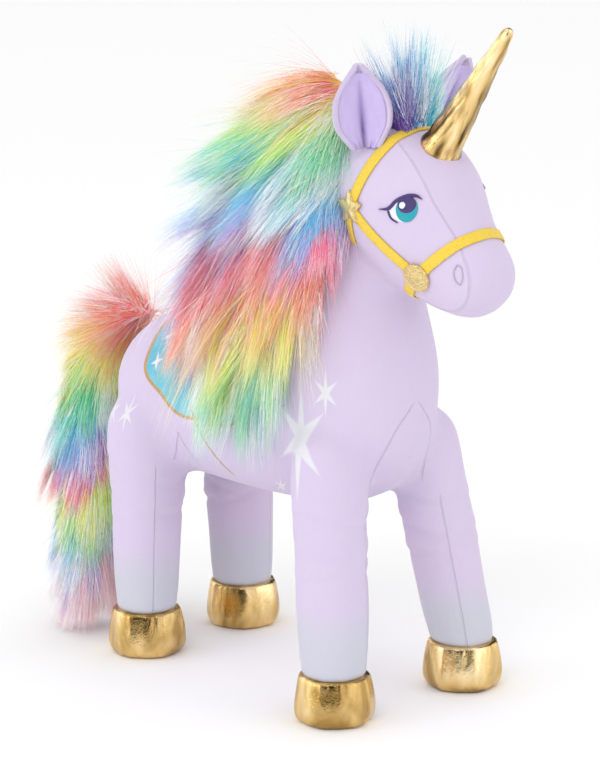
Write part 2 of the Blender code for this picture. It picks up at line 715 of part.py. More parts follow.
def make_tail():
    """A stuffed dock sewn to the rump, the fur's woven core and the fur around it."""
    bm = bmesh.new()
    bmesh.ops.create_uvsphere(bm, u_segments=14, v_segments=8, radius=DOCK_RADIUS)
    dock = add_object("tail_dock", mesh_from(bm, "tail_dock"), material("lilac_plush", LILAC, 0.9))
    dock.location = TAIL_ROOT
    rings = []
    for centre, half_x, half_y, slope in TAIL_SECTIONS:
        tilt = Matrix.Rotation(math.radians(slope), 3, "X")
        rings.append([Vector(centre) + tilt @ p for p in circle_ring((0, 0, 0), half_x, 14, half_y)])
    tail = add_object("tail_fur", loft("tail_fur", rings), material("rainbow_fur", FUR, 0.8))
    subdivide(tail)
    middles = [section[0] for section in TAIL_SECTIONS[2:]]
    core = loft("tail_backing", [circle_ring(middle, 0.0045, 8) for middle in middles[:-1]])
    add_object("tail_backing", core, material("fur_backing", WHITE, 1.0))
    below = Vector(middles[-1]) - Vector((0, 0, 0.02))
    bore = loft("tail_bore", [circle_ring(middle, 0.0045 + GAP, 8) for middle in middles[:-1] + [below]])
    cut(tail, add_object("tail_bore", bore, guide=True))
    cut(tail, ball("dock_room", TAIL_ROOT, DOCK_RADIUS + CLEAR), body_guide("body_at_tail", 0.002))


# ---- assembly -----------------------------------------------------------------------------------
def head_sweeps():
    """The head's own sweep in the neck's frame, to clear the mane."""
    made = []
    for degrees in (-NOD_UP, 0, NOD_DOWN):
        grown = head_solid(f"head_sweep_{degrees}", True, 0.0022)
        turned_about(grown, HEAD_PIVOT, degrees)
        made.append(grown)
    return made


def main():
    clear_scene()
    leg_cutters = []
    for label in LEGS:
        make_leg(label, leg_cutters)
    make_body(leg_cutters)
    sweep = neck_sweep()
    make_head(sweep)
    make_halter(sweep)
    make_face()
    make_ears()
    make_horn()
    make_forelock()
    make_mane(head_sweeps())
    make_tail()


main()
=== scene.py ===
import math

import bmesh
import bpy
import numpy as np
from mathutils import Matrix, Vector
from mathutils.bvhtree import BVHTree


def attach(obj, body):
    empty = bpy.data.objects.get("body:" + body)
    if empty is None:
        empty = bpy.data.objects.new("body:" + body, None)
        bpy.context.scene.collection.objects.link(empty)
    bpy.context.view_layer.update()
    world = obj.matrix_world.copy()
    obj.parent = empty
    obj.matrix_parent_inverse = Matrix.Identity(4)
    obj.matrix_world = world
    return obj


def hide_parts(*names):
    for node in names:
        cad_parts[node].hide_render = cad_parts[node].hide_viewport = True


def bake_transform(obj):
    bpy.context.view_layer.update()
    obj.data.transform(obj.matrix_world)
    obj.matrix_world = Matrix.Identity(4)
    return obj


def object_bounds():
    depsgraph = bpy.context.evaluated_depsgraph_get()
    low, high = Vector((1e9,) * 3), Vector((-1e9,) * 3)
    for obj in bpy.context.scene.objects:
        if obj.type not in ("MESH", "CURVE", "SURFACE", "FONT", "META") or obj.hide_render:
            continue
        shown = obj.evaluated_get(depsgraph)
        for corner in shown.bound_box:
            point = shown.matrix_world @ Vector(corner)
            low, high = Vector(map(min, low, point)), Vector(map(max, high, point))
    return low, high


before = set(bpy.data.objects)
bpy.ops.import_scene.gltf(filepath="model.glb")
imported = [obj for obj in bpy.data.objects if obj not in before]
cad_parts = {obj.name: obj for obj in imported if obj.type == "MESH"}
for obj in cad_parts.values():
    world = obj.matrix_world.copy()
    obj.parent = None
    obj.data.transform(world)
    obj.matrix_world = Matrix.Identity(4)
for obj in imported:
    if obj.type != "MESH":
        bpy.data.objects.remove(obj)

CAD_BOX = [list(corner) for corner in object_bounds()]

# ---- the same driving sections as the CAD -------------------------------------------------------
LEGS = {
    "front_right": ((-0.0520, -0.0960), (-0.0385, -0.0765, 0.150)),
    "front_left": ((0.0520, -0.1000), (0.0385, -0.0780, 0.150)),
    "hind_right": ((-0.0430, 0.0830), (-0.0380, 0.0860, 0.142)),
    "hind_left": ((0.0430, 0.0880), (0.0380, 0.0880, 0.142)),
}
LEG_PROFILE = {
    "front": [(0.0255, 0.0196), (0.0290, 0.0214), (0.038, 0.0228), (0.055, 0.0234),
              (0.090, 0.0240), (0.122, 0.0246), (0.150, 0.0248)],
    "hind": [(0.0255, 0.0192), (0.0290, 0.0210), (0.038, 0.0222), (0.055, 0.0228),
             (0.085, 0.0240), (0.113, 0.0262), (0.142, 0.0282)],
}
BODY_SECTIONS = [
    ((0.1170, 0.193), (0.1190, 0.150), 0.032),
    ((0.1100, 0.209), (0.1120, 0.128), 0.0485),
    ((0.0870, 0.2195), (0.0870, 0.112), 0.0550),
    ((0.0500, 0.2195), (0.0460, 0.1085), 0.0535),
    ((0.0300, 0.2200), (0.0060, 0.1080), 0.0515),
    ((0.0200, 0.2265), (-0.0370, 0.1095), 0.0520),
    ((0.0100, 0.2365), (-0.0760, 0.1160), 0.0525),
    ((0.0000, 0.2490), (-0.1030, 0.1330), 0.0515),
    ((-0.0120, 0.2640), (-0.1145, 0.1580), 0.0520),
    ((-0.0230, 0.2790), (-0.1135, 0.1860), 0.0462),
    ((-0.0340, 0.2940), (-0.1090, 0.2130), 0.0388),
    ((-0.0450, 0.3060), (-0.1040, 0.2360), 0.0320),
    ((-0.0560, 0.3130), (-0.0990, 0.2610), 0.0290),
    ((-0.0700, 0.3180), (-0.1000, 0.2780), 0.0230),
]
HEAD_SECTIONS = [
    ((-0.1805, 0.2745), (-0.1775, 0.2540), 0.0120),
    ((-0.1760, 0.2855), (-0.1655, 0.2425), 0.0222),
    ((-0.1668, 0.2945), (-0.1480, 0.2400), 0.0250),
    ((-0.1570, 0.3062), (-0.1300, 0.2440), 0.0272),
    ((-0.1500, 0.3250), (-0.1120, 0.2500), 0.0340),
    ((-0.1370, 0.3405), (-0.0930, 0.2570), 0.0392),
    ((-0.1160, 0.3525), (-0.0760, 0.2680), 0.0402),
    ((-0.0920, 0.3545), (-0.0630, 0.2840), 0.0365),
    ((-0.0740, 0.3470), (-0.0570, 0.3010), 0.0265),
    ((-0.0650, 0.3390), (-0.0570, 0.3160), 0.0130),
]
TAIL_SECTIONS = [
    ((0.0000, 0.1120, 0.2040), 0.010, 0.008),
    ((0.0000, 0.1215, 0.2080), 0.014, 0.012),
    ((-0.0030, 0.1370, 0.2040), 0.021, 0.016),
    ((-0.0100, 0.1530, 0.1820), 0.026, 0.022),
    ((-0.0180, 0.1625, 0.1470), 0.0275, 0.0245),
    ((-0.0250, 0.1540, 0.1070), 0.0265, 0.0240),
    ((-0.0310, 0.1460, 0.0670), 0.0255, 0.0225),
    ((-0.0360, 0.1410, 0.0330), 0.0235, 0.0200),
]
MANE_SECTIONS = [
    (-0.082, 0.276, 0.304), (-0.073, 0.258, 0.352), (-0.060, 0.240, 0.376), (-0.042, 0.214, 0.382),
    (-0.022, 0.196, 0.370), (-0.005, 0.197, 0.344), (0.009, 0.216, 0.316), (0.019, 0.238, 0.293),
    (0.027, 0.254, 0.276),
]
HORN_BASE, HORN_TIP = Vector((0.0, -0.1266, 0.3362)), Vector((0.0, -0.1832, 0.4135))
EAR_AT = (0.0305, -0.0980, 0.3383)
EAR_LEAN, EAR_FACING = {"right": 7, "left": 24}, {"right": 38, "left": -10}
EAR_HEIGHT, EAR_HALF_WIDTH = 0.0495, 0.0172
SIDES = {"right": -1, "left": 1}
EYE_AT, NOSTRIL_AT = (-0.1312, 0.3076), (-0.1640, 0.2727)
SIDE_STAR, MEDAL = (-0.0925, 0.304), (-0.1358, 0.2682)
CROWN_TOP, NOSE_TOP = (-0.1170, 0.3580), (-0.1725, 0.3000)
THROAT_STRAP = (-0.0900, 0.3000), (-0.0870, 0.2790)
RIBBON_WIDTH, RIBBON_THICK, RIBBON_LIFT = 0.0064, 0.0009, 0.0003
CLOTH_FRAMES, CLOTH_CAP, SEAM_PULL = 16, 0.0026, 0.0028
STRANDS, STRAND_SEGMENTS, STRAND_WIDTH, STRAND_WAVE, FROSTED_SHARE = 14000, 7, 0.00032, 0.0012, 0.30
FORELOCK_HALF, FORELOCK_BACK = (0.0125, 0.008), 0.1060
HOOF_TOP = 0.0275

# The head's piece is cut from the neck across this axis, along a line that keeps the whole jaw on the head's
# side.
NECK_AXIS = Vector((0.0, -0.64, 0.77)).normalized()
NECK_START, NECK_END, LEG_BLEND = 0.222, 0.257, 0.042

# ---- mesh helpers -------------------------------------------------------------------------------
def link(name, mesh, material=None):
    obj = bpy.data.objects.new(name, mesh)
    bpy.context.scene.collection.objects.link(obj)
    if material:
        obj.data.materials.append(material)
    return obj


def mesh_of(name, verts, faces):
    mesh = bpy.data.meshes.new(name)
    mesh.from_pydata([tuple(v) for v in verts], [], faces)
    mesh.validate()
    bm = bmesh.new()
    bm.from_mesh(mesh)
    bmesh.ops.recalc_face_normals(bm, faces=bm.faces)
    bm.to_mesh(mesh)
    bm.free()
    mesh.shade_smooth()
    return mesh


def tube(rings, closed_ends=True):
    """Vertices and faces of a tube through rings of points."""
    count = len(rings[0])
    faces = []
    for k in range(len(rings) - 1):
        for i in range(count):
            j = (i + 1) % count
            faces.append((k * count + i, k * count + j, (k + 1) * count + j, (k + 1) * count + i))
    if closed_ends:
        faces.append(tuple(range(count)))
        faces.append(tuple((len(rings) - 1) * count + i for i in range(count)))
    return [p for ring in rings for p in ring], faces


def grid(rows):
    """Vertices and faces of an open sheet through rows of points."""
    count = len(rows[0])
    faces = []
    for k in range(len(rows) - 1):
        for a in range(k * count, k * count + count - 1):
            faces.append((a, a + 1, a + count + 1, a + count))
    return [p for row in rows for p in row], faces


def modify(obj, kind, **settings):
    mod = obj.modifiers.new(kind.lower(), kind)
    for key, value in settings.items():
        setattr(mod, key, value)
    return mod


def apply_modifiers(obj):
    graph = bpy.context.evaluated_depsgraph_get()
    mesh = bpy.data.meshes.new_from_object(obj.evaluated_get(graph), depsgraph=graph)
    obj.modifiers.clear()
    obj.data = mesh
    mesh.shade_smooth()


def reshape(obj, kind, **settings):
    """Adds a modifier and applies it, with any that wait before it."""
    modify(obj, kind, **settings)
    apply_modifiers(obj)


def subdivide(obj):
    reshape(obj, "SUBSURF", levels=1, render_levels=1)


def coords(mesh):
    co = np.zeros(len(mesh.vertices) * 3)
    mesh.vertices.foreach_get("co", co)
    return co.reshape(-1, 3)


def set_coords(mesh, co):
    mesh.vertices.foreach_set("co", co.astype(np.float32).ravel())
    mesh.update()


def normals(mesh):
    no = np.zeros(len(mesh.vertices) * 3)
    mesh.vertex_normals.foreach_get("vector", no)
    return no.reshape(-1, 3)


def smoothstep(low, high, value):
    t = np.clip((value - low) / (high - low), 0, 1)
    return t * t * (3 - 2 * t)


def unit(v):
    return v / np.maximum(np.linalg.norm(v, axis=-1, keepdims=True), 1e-9)


def turns(count):
    return [math.tau * i / count for i in range(count)]


def spline(p, t):
    """A point between p[1] and p[2] on a smooth curve through four points."""
    return 0.5 * ((2 * p[1]) + (p[2] - p[0]) * t + (2 * p[0] - 5 * p[1] + 4 * p[2] - p[3]) * t * t
                  + (3 * p[1] - p[0] - 3 * p[2] + p[3]) * t**3)


def section_ring(section):
    (top_y, top_z), (low_y, low_z), half_width = section
    top, low = Vector((0, top_y, top_z)), Vector((0, low_y, low_z))
    middle, arm = (top + low) / 2, (top - low) / 2
    return [middle + arm * math.cos(t) + Vector((half_width * math.sin(t), 0, 0)) for t in turns(14)]


def circle_ring(centre, radius):
    return [Vector(centre) + Vector((radius * math.cos(t), radius * math.sin(t), 0)) for t in turns(12)]


def declare(piece, slot, *stands_for, body=None, fill=None):
    if body:
        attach(piece, body)
    if stands_for:
        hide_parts(*stands_for)


def blend_at_neck(piece):
    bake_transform(piece)


# ---- material nodes -----------------------------------------------------------------------------
class Value:
    """A node's output, which adds a node for each operation done with it."""

    def __init__(self, nodes, socket):
        self.nodes, self.socket = nodes, socket

    def __add__(self, other):
        return self.nodes.sum("ADD", self, other)

    def __sub__(self, other):
        return self.nodes.sum("SUBTRACT", self, other)

    def __mul__(self, other):
        return self.nodes.sum("MULTIPLY", self, other)

    def __truediv__(self, other):
        return self.nodes.sum("DIVIDE", self, other)

    def __abs__(self):
        return self.nodes.sum("ABSOLUTE", self)


class Nodes:
    """A node tree with short calls that add to it. Numbers and values mix in all of them."""

    def __init__(self, tree, space):
        self.tree = tree
        self.place = self.add("ShaderNodeTexCoord", out=space)
        self.x, self.y, self.z = self.split(self.place)

    def put(self, value, socket):
        if isinstance(value, Value):
            self.tree.links.new(value.socket, socket)
        else:
            socket.default_value = value

    def add(self, kind, given=None, out=0, **settings):
        """A new node, with the inputs given by name or number. Returns one of its outputs."""
        made = self.tree.nodes.new(kind)
        for key, value in settings.items():
            setattr(made, key, value)
        for key, value in (given or {}).items():
            self.put(value, made.inputs[key])
        return Value(self, made.outputs[out])

    def split(self, vector):
        made = self.tree.nodes.new("ShaderNodeSeparateXYZ")
        self.put(vector, made.inputs[0])
        return [Value(self, socket) for socket in made.outputs]

    def sum(self, operation, a, b=0.0, c=0.0):
        return self.add("ShaderNodeMath", {0: a, 1: b, 2: c}, operation=operation)

    def line(self, value, slope, base):
        return self.sum("MULTIPLY_ADD", value, slope, base)

    def length(self, a, b):
        return self.sum("SQRT", a * a + b * b)

    def ramp(self, value, low, high, out_low=0.0, out_high=1.0, shape="SMOOTHSTEP"):
        given = {0: value, 1: low, 2: high, 3: out_low, 4: out_high}
        return self.add("ShaderNodeMapRange", given, interpolation_type=shape)

    def between(self, value, low, high, soft=0.003):
        return self.ramp(value, low - soft, low + soft) * self.ramp(value, high - soft, high + soft, 1.0, 0.0)

    def curve(self, value, table):
        """A smooth line through a table of (value, result), the results all from 0 to 1."""
        low, high = table[0][0], table[-1][0]
        share = self.ramp(value, low, high, shape="LINEAR")
        made = self.add("ShaderNodeFloatCurve", {"Value": share})
        mapping = made.socket.node.mapping
        points = mapping.curves[0].points
        points[0].location, points[-1].location = (0.0, table[0][1]), (1.0, table[-1][1])
        for at, result in table[1:-1]:
            points.new((at - low) / (high - low), result)
        mapping.update()
        return made

    def noise(self, scale, detail=3.0, roughness=0.5, at=None, distortion=0.0):
        given = {"Vector": at or self.place, "Scale": scale, "Detail": detail, "Roughness": roughness,
                 "Distortion": distortion}
        return self.add("ShaderNodeTexNoise", given, "Fac")

    def stretched(self, x, y, z, at=None):
        return self.add("ShaderNodeVectorMath", {0: at or self.place, 1: (x, y, z)}, operation="MULTIPLY")

    def mix(self, share, a, b, blend="MIX"):
        """Colour a, with b over it where share is 1."""
        given = {"Factor": share, 6: a, 7: b}
        return self.add("ShaderNodeMix", given, 2, data_type="RGBA", blend_type=blend)

    def stops(self, value, colours):
        made = self.add("ShaderNodeValToRGB", {0: value})
        elements = made.socket.node.color_ramp.elements
        while len(elements) < len(colours):
            elements.new(0.5)
        for element, (position, _) in zip(elements, colours):
            element.position = position
        for element, (position, colour) in zip(elements, colours):
            element.position = position
            element.color = (*colour, 1.0)
        return made

    def star(self, across, up, at, size, points, turn, tall, inner):
        """1 inside a star with pointed arms, 0 outside, soft at its edge."""
        a, b = (across - at[0]) / size, (up - at[1]) / (size * tall)
        wedge = math.tau / points
        turned = self.sum("ARCTAN2", a, b) + (turn + math.tau * 2)
        angle = abs(self.sum("MODULO", turned, wedge) - wedge / 2)
        reach = self.length(a, b)
        sx, sy = inner * math.cos(wedge / 2), inner * math.sin(wedge / 2)
        long = math.hypot(1 - sx, sy)
        inward = (reach * self.sum("COSINE", angle) - 1.0) * (sy / long)
        sideways = reach * self.sum("SINE", angle) * ((1 - sx) / long)
        return self.ramp(inward + sideways, -0.045, 0.03, 1.0, 0.0)


class Finish(Nodes):
    """One material. Its fixed settings are given by the names of the shader's sockets."""

    def __init__(self, name, **sockets):
        self.material = bpy.data.materials.new(name)
        self.material.use_nodes = True
        super().__init__(self.material.node_tree, "Object")
        self.shader = self.tree.nodes["Principled BSDF"].inputs
        for key, value in sockets.items():
            self.shader[key.replace("_", " ")].default_value = value

    def bump(self, height, strength=1.0, distance=0.001):
        made = self.add("ShaderNodeBump", {"Strength": strength, "Distance": distance, "Height": height})
        before = self.shader["Normal"]
        if before.is_linked:
            self.tree.links.new(before.links[0].from_socket, made.socket.node.inputs["Normal"])
        self.put(made, before)

    def colour(self, value):
        self.put(value, self.shader["Base Color"])


# Printed stars: (degrees turned towards the front, place across and up, size, height for its width).
STARS = [
    (40, (-0.0175, 0.1645), 0.0165, 2.05), (40, (-0.0328, 0.1936), 0.0085, 1.8),
    (40, (-0.0350, 0.2342), 0.0068, 1.6), (40, (-0.0015, 0.1251), 0.0045, 1.8),
    (0, (0.0816, 0.1558), 0.0062, 1.9), (0, (0.0955, 0.1547), 0.0058, 1.9),
]
SADDLE = (0.022, 0.205, 0.0600, 0.046)  # middle as (y, z), then half its length and height
SPARKLES = [((0.0690, 0.2030), 0.0048, 0.3), ((0.0625, 0.2062), 0.0040, 0.1), ((0.0685, 0.1885), 0.0052, 0.4),
            ((0.0560, 0.1930), 0.0038, 0.2)]
HIND_SEAM = [((0.0463, 0.1477), (0.0585, 0.1275)), ((0.0463, 0.1477), (0.0402, 0.1268))]
# Half the width of the long gusset over the face and of the belly gusset's V, by height, in GUSSET_UNITs.
FACE_GUSSET = [(0.2495, 0.62), (0.2586, 0.712), (0.2677, 0.748), (0.2802, 0.724), (0.2916, 0.680),
               (0.3022, 0.756), (0.3158, 0.878), (0.3339, 0.852), (0.3435, 0.748)]
CHEST_GUSSET = [(0.118, 0.85), (0.1466, 0.83), (0.1594, 0.73), (0.1713, 0.55), (0.1811, 0.25), (0.189, 0.0)]
GUSSET_UNIT = 0.025

LILAC, PINK_LILAC = (0.652, 0.562, 0.752, 1), (0.664, 0.558, 0.736, 1)
# The first colour below is the painted shade laid in the seams' valleys.
PAINTED_SEAM_SHADE, PALE_GREY = (0.36, 0.27, 0.50, 1), (0.585, 0.590, 0.675, 1)
PRINT_WHITE, PRINT_GOLD = (0.78, 0.78, 0.82, 1), (0.52, 0.33, 0.14, 1)


def velour(name):
    """Velour with its short pile: fine fibres over a soft directional nap, which is returned too."""
    m = Finish(name, Roughness=0.92, Sheen_Weight=0.30, Sheen_Roughness=0.5, Sheen_Tint=(0.95, 0.92, 1.0, 1),
               Specular_IOR_Level=0.12)
    nap = m.noise(230, 3, 0.55, at=m.stretched(1.0, 1.0, 0.45))
    m.bump(m.noise(2600, 2, 0.6), 0.35, 0.0005)
    m.bump(nap, 0.22, 0.0010)
    return m, nap


def velour_colour(m, nap):
    base = m.mix(m.ramp(m.noise(9, 2, 0.5), 0.40, 0.66), LILAC, PINK_LILAC)
    return m.mix(m.ramp(nap, 0.30, 0.72, 0.0, 0.14), base, (0.70, 0.62, 0.78, 1))


def seam(m, distance, reach, depth=0.6, width=0.0005, dark=0.16):
    """A stitched valley where a distance is 0. Returns how much painted shade darkens the cloth in the valley.
    """
    valley = m.ramp(abs(distance), 0.0, width * 1.7, 1.0, 0.0) * reach
    m.bump(valley * -1.0, depth, 0.0010)
    return m.ramp(valley, 0.35, 1.0, 0.0, dark)


def printed_saddle(m, colour, on_side):
    """The printed saddle: a blue scalloped patch with a gold edge, sparkles and a girth line."""
    dy, dz = (m.y - SADDLE[0]) / SADDLE[2], (m.z - SADDLE[1]) / SADDLE[3]
    lobes = m.sum("SINE", m.sum("ARCTAN2", dz, dy) * 9.0) * 0.030
    edge = m.length(dy, dz) - 1.0 - lobes
    inside = m.ramp(edge, -0.012, 0.006, 1.0, 0.0)
    cloud = m.noise(38, 3, 0.55, distortion=0.6)
    blue = m.mix(m.ramp(cloud, 0.35, 0.65), (0.13, 0.50, 0.66, 1), (0.26, 0.62, 0.70, 1))
    colour = m.mix(inside, colour, blue)
    for at, size, turn in SPARKLES:
        colour = m.mix(m.star(m.y, m.z, at, size, 4, turn, 1.25, 0.28) * inside, colour, PRINT_WHITE)
    ring = m.ramp(abs(edge), 0.016, 0.032, 1.0, 0.0)
    girth = m.ramp(abs(m.y - m.line(m.z, 0.475, -0.0462)), 0.0006, 0.0013, 1.0, 0.0)
    girth = girth * m.between(m.z, 0.125, 0.166)
    return m.mix(m.sum("MAXIMUM", ring, girth) * on_side, colour, PRINT_GOLD)


def leg_seam(m, end, towards):
    """A seam down one side of each leg at one end. towards is (out, along y) from the leg's middle."""
    (fx, fy), hip = LEGS[f"{end}_right"]
    rise = hip[2] - HOOF_TOP
    slope_x, slope_y = (abs(hip[0]) - abs(fx)) / rise, (hip[1] - fy) / rise
    out = abs(m.x) - m.line(m.z, slope_x, abs(fx) - HOOF_TOP * (abs(hip[0]) - abs(fx)) / rise)
    along = m.y - m.line(m.z, slope_y, fy - HOOF_TOP * (hip[1] - fy) / rise)
    off = out * -towards[1] + along * towards[0]
    facing = out * towards[0] + along * towards[1]
    there = m.between(facing, 0.012, 0.035) * m.ramp(m.z, 0.120, 0.128, 1.0, 0.0)
    return seam(m, off, there, dark=0.07)


def printed_stars(m, wide):
    stars = None
    for tilt, at, size, tall in STARS:
        across = wide * math.sin(math.radians(tilt)) + m.y * math.cos(math.radians(tilt))
        one = m.star(across, m.z, at, size, 6, math.pi / 6, tall, 0.27)
        one = one * (m.ramp(m.y, 0.0, 0.01, 1.0, 0.0) if tilt else 1.0)
        stars = m.sum("MAXIMUM", stars, one) if stars else one
    return stars


def make_body_velour():
    m, nap = velour("lilac_velour_body")
    wide = abs(m.x)
    colour = velour_colour(m, nap)
    height = m.z + m.noise(60, 2) * 0.008
    colour = m.mix(m.ramp(height, 0.051, 0.080, 1.0, 0.0), colour, PALE_GREY)
    on_side = m.ramp(wide, 0.012, 0.018)
    colour = m.mix(printed_stars(m, wide) * on_side * 0.85, colour, PRINT_WHITE)
    colour = printed_saddle(m, colour, on_side)
    # Seams: over the back, round the belly gusset, down the legs, and where the hind legs are set in.
    # Each seam's valley is bumped in and darkened with painted shade.
    shade = seam(m, m.x, m.ramp(m.z, 0.20, 0.21) * m.ramp(m.y, 0.0, 0.03), 0.8, 0.0008, 0.26)
    front = m.ramp(m.y, -0.080, -0.072, 1.0, 0.0) * m.between(m.z, 0.132, 0.186)
    shade = m.sum("MAXIMUM", shade, seam(m, wide - m.curve(m.z, CHEST_GUSSET) * GUSSET_UNIT, front))
    for end, towards in (("hind", (0.468, -0.884)), ("front", (-0.50, -0.866))):
        shade = m.sum("MAXIMUM", shade, leg_seam(m, end, towards))
    outer = m.ramp(wide, 0.034, 0.038)
    for (y1, z1), (y2, z2) in HIND_SEAM:
        slope = (y2 - y1) / (z2 - z1)
        there = m.between(m.z, min(z1, z2), max(z1, z2), 0.0008) * outer
        shade = m.sum("MAXIMUM", shade, seam(m, m.y - m.line(m.z, slope, y1 - slope * z1), there))
    m.colour(m.mix(shade, colour, PAINTED_SEAM_SHADE))
    return m.material


def make_head_velour():
    m, nap = velour("lilac_velour_head")
    colour = velour_colour(m, nap)
    # The long gusset from the poll over the nose is a little wider over the forehead.
    off = abs(m.x) - m.curve(m.z, FACE_GUSSET) * GUSSET_UNIT
    front = m.ramp(m.y * -0.64 + m.z * 0.77, 0.268, 0.276)
    # Painted shade darkens the gusset seam's valley.
    m.colour(m.mix(seam(m, off, front, 0.6, 0.00045, 0.14), colour, PAINTED_SEAM_SHADE))
    return m.material


def make_ear_velour(name, tone, deep):
    """Velour of one colour, with painted shade darkening it where the piece's own fold attribute is high."""
    m, nap = velour(name)
    colour = m.mix(m.ramp(nap, 0.3, 0.75, 0.0, 0.6), deep, tone)
    fold = m.add("ShaderNodeAttribute", out="Fac", attribute_name="fold")
    m.colour(m.mix(fold * 0.75, colour, (0.26, 0.18, 0.46, 1)))
    return m.material


def make_foil(name, streaks, tilt=0.0, dark=(0.44, 0.27, 0.08), fold_size=30):
    """Gold foil on cloth, whose creases run along the tilted piece. Its colour is painted shade in the creases
    and a painted highlight on the ridges.
    """
    m = Finish(name, Metallic=1.0)
    turned = m.add("ShaderNodeVectorRotate", {"Vector": m.place, "Angle": tilt}, rotation_type="X_AXIS")
    at = m.stretched(*streaks, at=turned)
    crinkle = m.noise(70, 4, 0.55, at=at, distortion=0.4)
    folds = m.noise(fold_size, 3, 0.5, at=at, distortion=0.8)
    m.bump(m.noise(1300, 2, 0.6), 0.35, 0.0004)
    m.bump(crinkle, 0.75, 0.0024)
    m.bump(folds, 0.45, 0.0040)
    # Painted shade and highlight: dark where the folds sink, bright where they rise.
    m.colour(m.stops(folds, [(0.38, dark), (0.50, (0.80, 0.56, 0.23)), (0.62, (1.0, 0.80, 0.46))]))
    m.put(m.ramp(crinkle, 0.3, 0.7, 0.15, 0.27), m.shader["Roughness"])
    return m.material


def make_glitter():
    m = Finish("gold_glitter", Metallic=0.85, Roughness=0.42)
    cells = m.add("ShaderNodeTexVoronoi", {"Vector": m.place, "Scale": 1900}, "Color", feature="F1")
    tint, height, _ = m.split(cells)
    m.colour(m.stops(tint, [(0.0, (0.62, 0.44, 0.14)), (0.5, (0.86, 0.66, 0.28)), (0.9, (1.0, 0.86, 0.52))]))
    m.bump(height, 0.9, 0.0006)
    return m.material


def make_ribbon():
    m = Finish("yellow_grosgrain", Roughness=0.62, Sheen_Weight=0.2)
    ribs = m.add("ShaderNodeTexWave", {"Vector": m.place, "Scale": 420, "Distortion": 0.6}, "Fac",
                 wave_type="BANDS", bands_direction="DIAGONAL")
    thread = m.noise(1700, 2, 0.6)
    m.bump(ribs, 0.35, 0.0004)
    m.bump(thread, 0.3, 0.0003)
    tone = m.mix(m.ramp(thread, 0.3, 0.7), (0.76, 0.49, 0.02, 1), (0.92, 0.66, 0.05, 1))
    # Painted highlight: the raised ribs are coloured a lighter yellow.
    m.colour(m.mix(ribs * 0.35, tone, (0.94, 0.73, 0.12, 1)))
    return m.material


def make_thread(name, colour, light, turn=0.5):
    """Satin stitch: fine parallel threads in one colour, with a painted highlight on the top of each raised row.
    """
    m = Finish(name, Roughness=0.48, Sheen_Weight=0.15)
    rows = m.sum("SINE", (m.y + m.z * turn) * 9000.0)
    height = rows * 0.5 + m.noise(1400, 2, 0.5)
    m.bump(height, 0.5, 0.0003)
    m.colour(m.mix(m.ramp(height, -0.1, 1.2), colour, light))
    return m.material


def make_fur(name, bands, frost=0.84):
    """Long pile. Its map runs from root to tip in v, and in u across the rainbow twice: plain locks,
    then frosted ones."""
    m = Finish(name, Roughness=0.62, Sheen_Weight=0.25, Sheen_Roughness=0.4, Specular_IOR_Level=0.30)
    uv = m.add("ShaderNodeUVMap", uv_map="OFBake")
    across, v, _ = m.split(uv)
    frosted = m.sum("GREATER_THAN", across, 0.5)
    u = across * 2.0 - frosted
    hue = m.stops(u + (m.noise(55, 2, 0.6, at=uv) - 0.5) * 0.035, bands)
    # Painted shade: the colour darkens towards the roots, deep in the pile.
    shaded = m.mix(1.0, hue, (0.55, 0.50, 0.55, 1), "MULTIPLY")
    deep = m.mix(m.ramp(v, 0.0, 0.30, 0.14, 0.0), hue, shaded)
    streak = m.noise(240, 1, 0.5, at=m.stretched(1.0, 0.02, 1.0, at=uv))
    begin = m.ramp(streak, 0.38, 0.60, 0.02, 1.05) - frosted * 0.62
    white = m.line(frosted, 0.92 - 0.6 * frost, 0.6 * frost)
    m.colour(m.mix(m.ramp(v, begin, begin + 0.42) * white, deep, (1.0, 1.0, 1.0, 1)))
    return m.material


CORAL, ORANGE, YELLOW, LIME = (1.0, 0.26, 0.24), (1.0, 0.48, 0.16), (0.98, 0.92, 0.14), (0.60, 0.92, 0.24)
GREEN, TEAL, SKY, VIOLET = (0.14, 0.74, 0.32), (0.05, 0.66, 0.70), (0.12, 0.60, 0.98), (0.48, 0.38, 0.90)
HOT_PINK, ROSE, WHITE = (1.0, 0.20, 0.38), (1.0, 0.44, 0.54), (0.96, 0.97, 0.98)
MANE_BANDS = [
    (0.00, ROSE), (0.04, CORAL), (0.07, ORANGE), (0.10, YELLOW), (0.155, LIME), (0.21, GREEN), (0.26, TEAL),
    (0.32, SKY), (0.375, VIOLET), (0.42, HOT_PINK), (0.49, CORAL), (0.54, ORANGE), (0.60, YELLOW), (0.67, LIME),
    (0.73, GREEN), (0.79, TEAL), (0.85, (0.45, 0.62, 0.92)), (0.92, (0.80, 0.76, 0.92)), (1.0, WHITE),
]
TAIL_BANDS = [
    (0.00, ROSE), (0.10, HOT_PINK), (0.18, (1.0, 0.22, 0.26)), (0.235, ORANGE), (0.28, YELLOW), (0.335, LIME),
    (0.385, GREEN), (0.44, TEAL), (0.48, SKY), (0.53, VIOLET), (0.58, HOT_PINK), (0.63, ORANGE), (0.67, YELLOW),
    (0.715, LIME), (0.75, GREEN), (0.80, SKY), (0.855, VIOLET), (0.91, ROSE), (1.0, (0.95, 0.76, 0.84)),
]
FORELOCK_BANDS = [
    (0.0, (0.10, 0.04, 0.30)), (0.25, (0.16, 0.07, 0.42)), (0.40, (0.05, 0.16, 0.55)),
    (0.55, (0.01, 0.38, 0.66)), (0.75, (0.05, 0.62, 0.84)), (0.9, (0.08, 0.68, 0.60)), (1.0, (0.26, 0.78, 0.40)),
]


# ---- the skin -----------------------------------------------------------------------------------
def leg_centre(label, z):
    (x, y), hip = LEGS[label]
    share = (z - HOOF_TOP) / (hip[2] - HOOF_TOP)
    return (x + (hip[0] - x) * share, y + (hip[1] - y) * share, z)


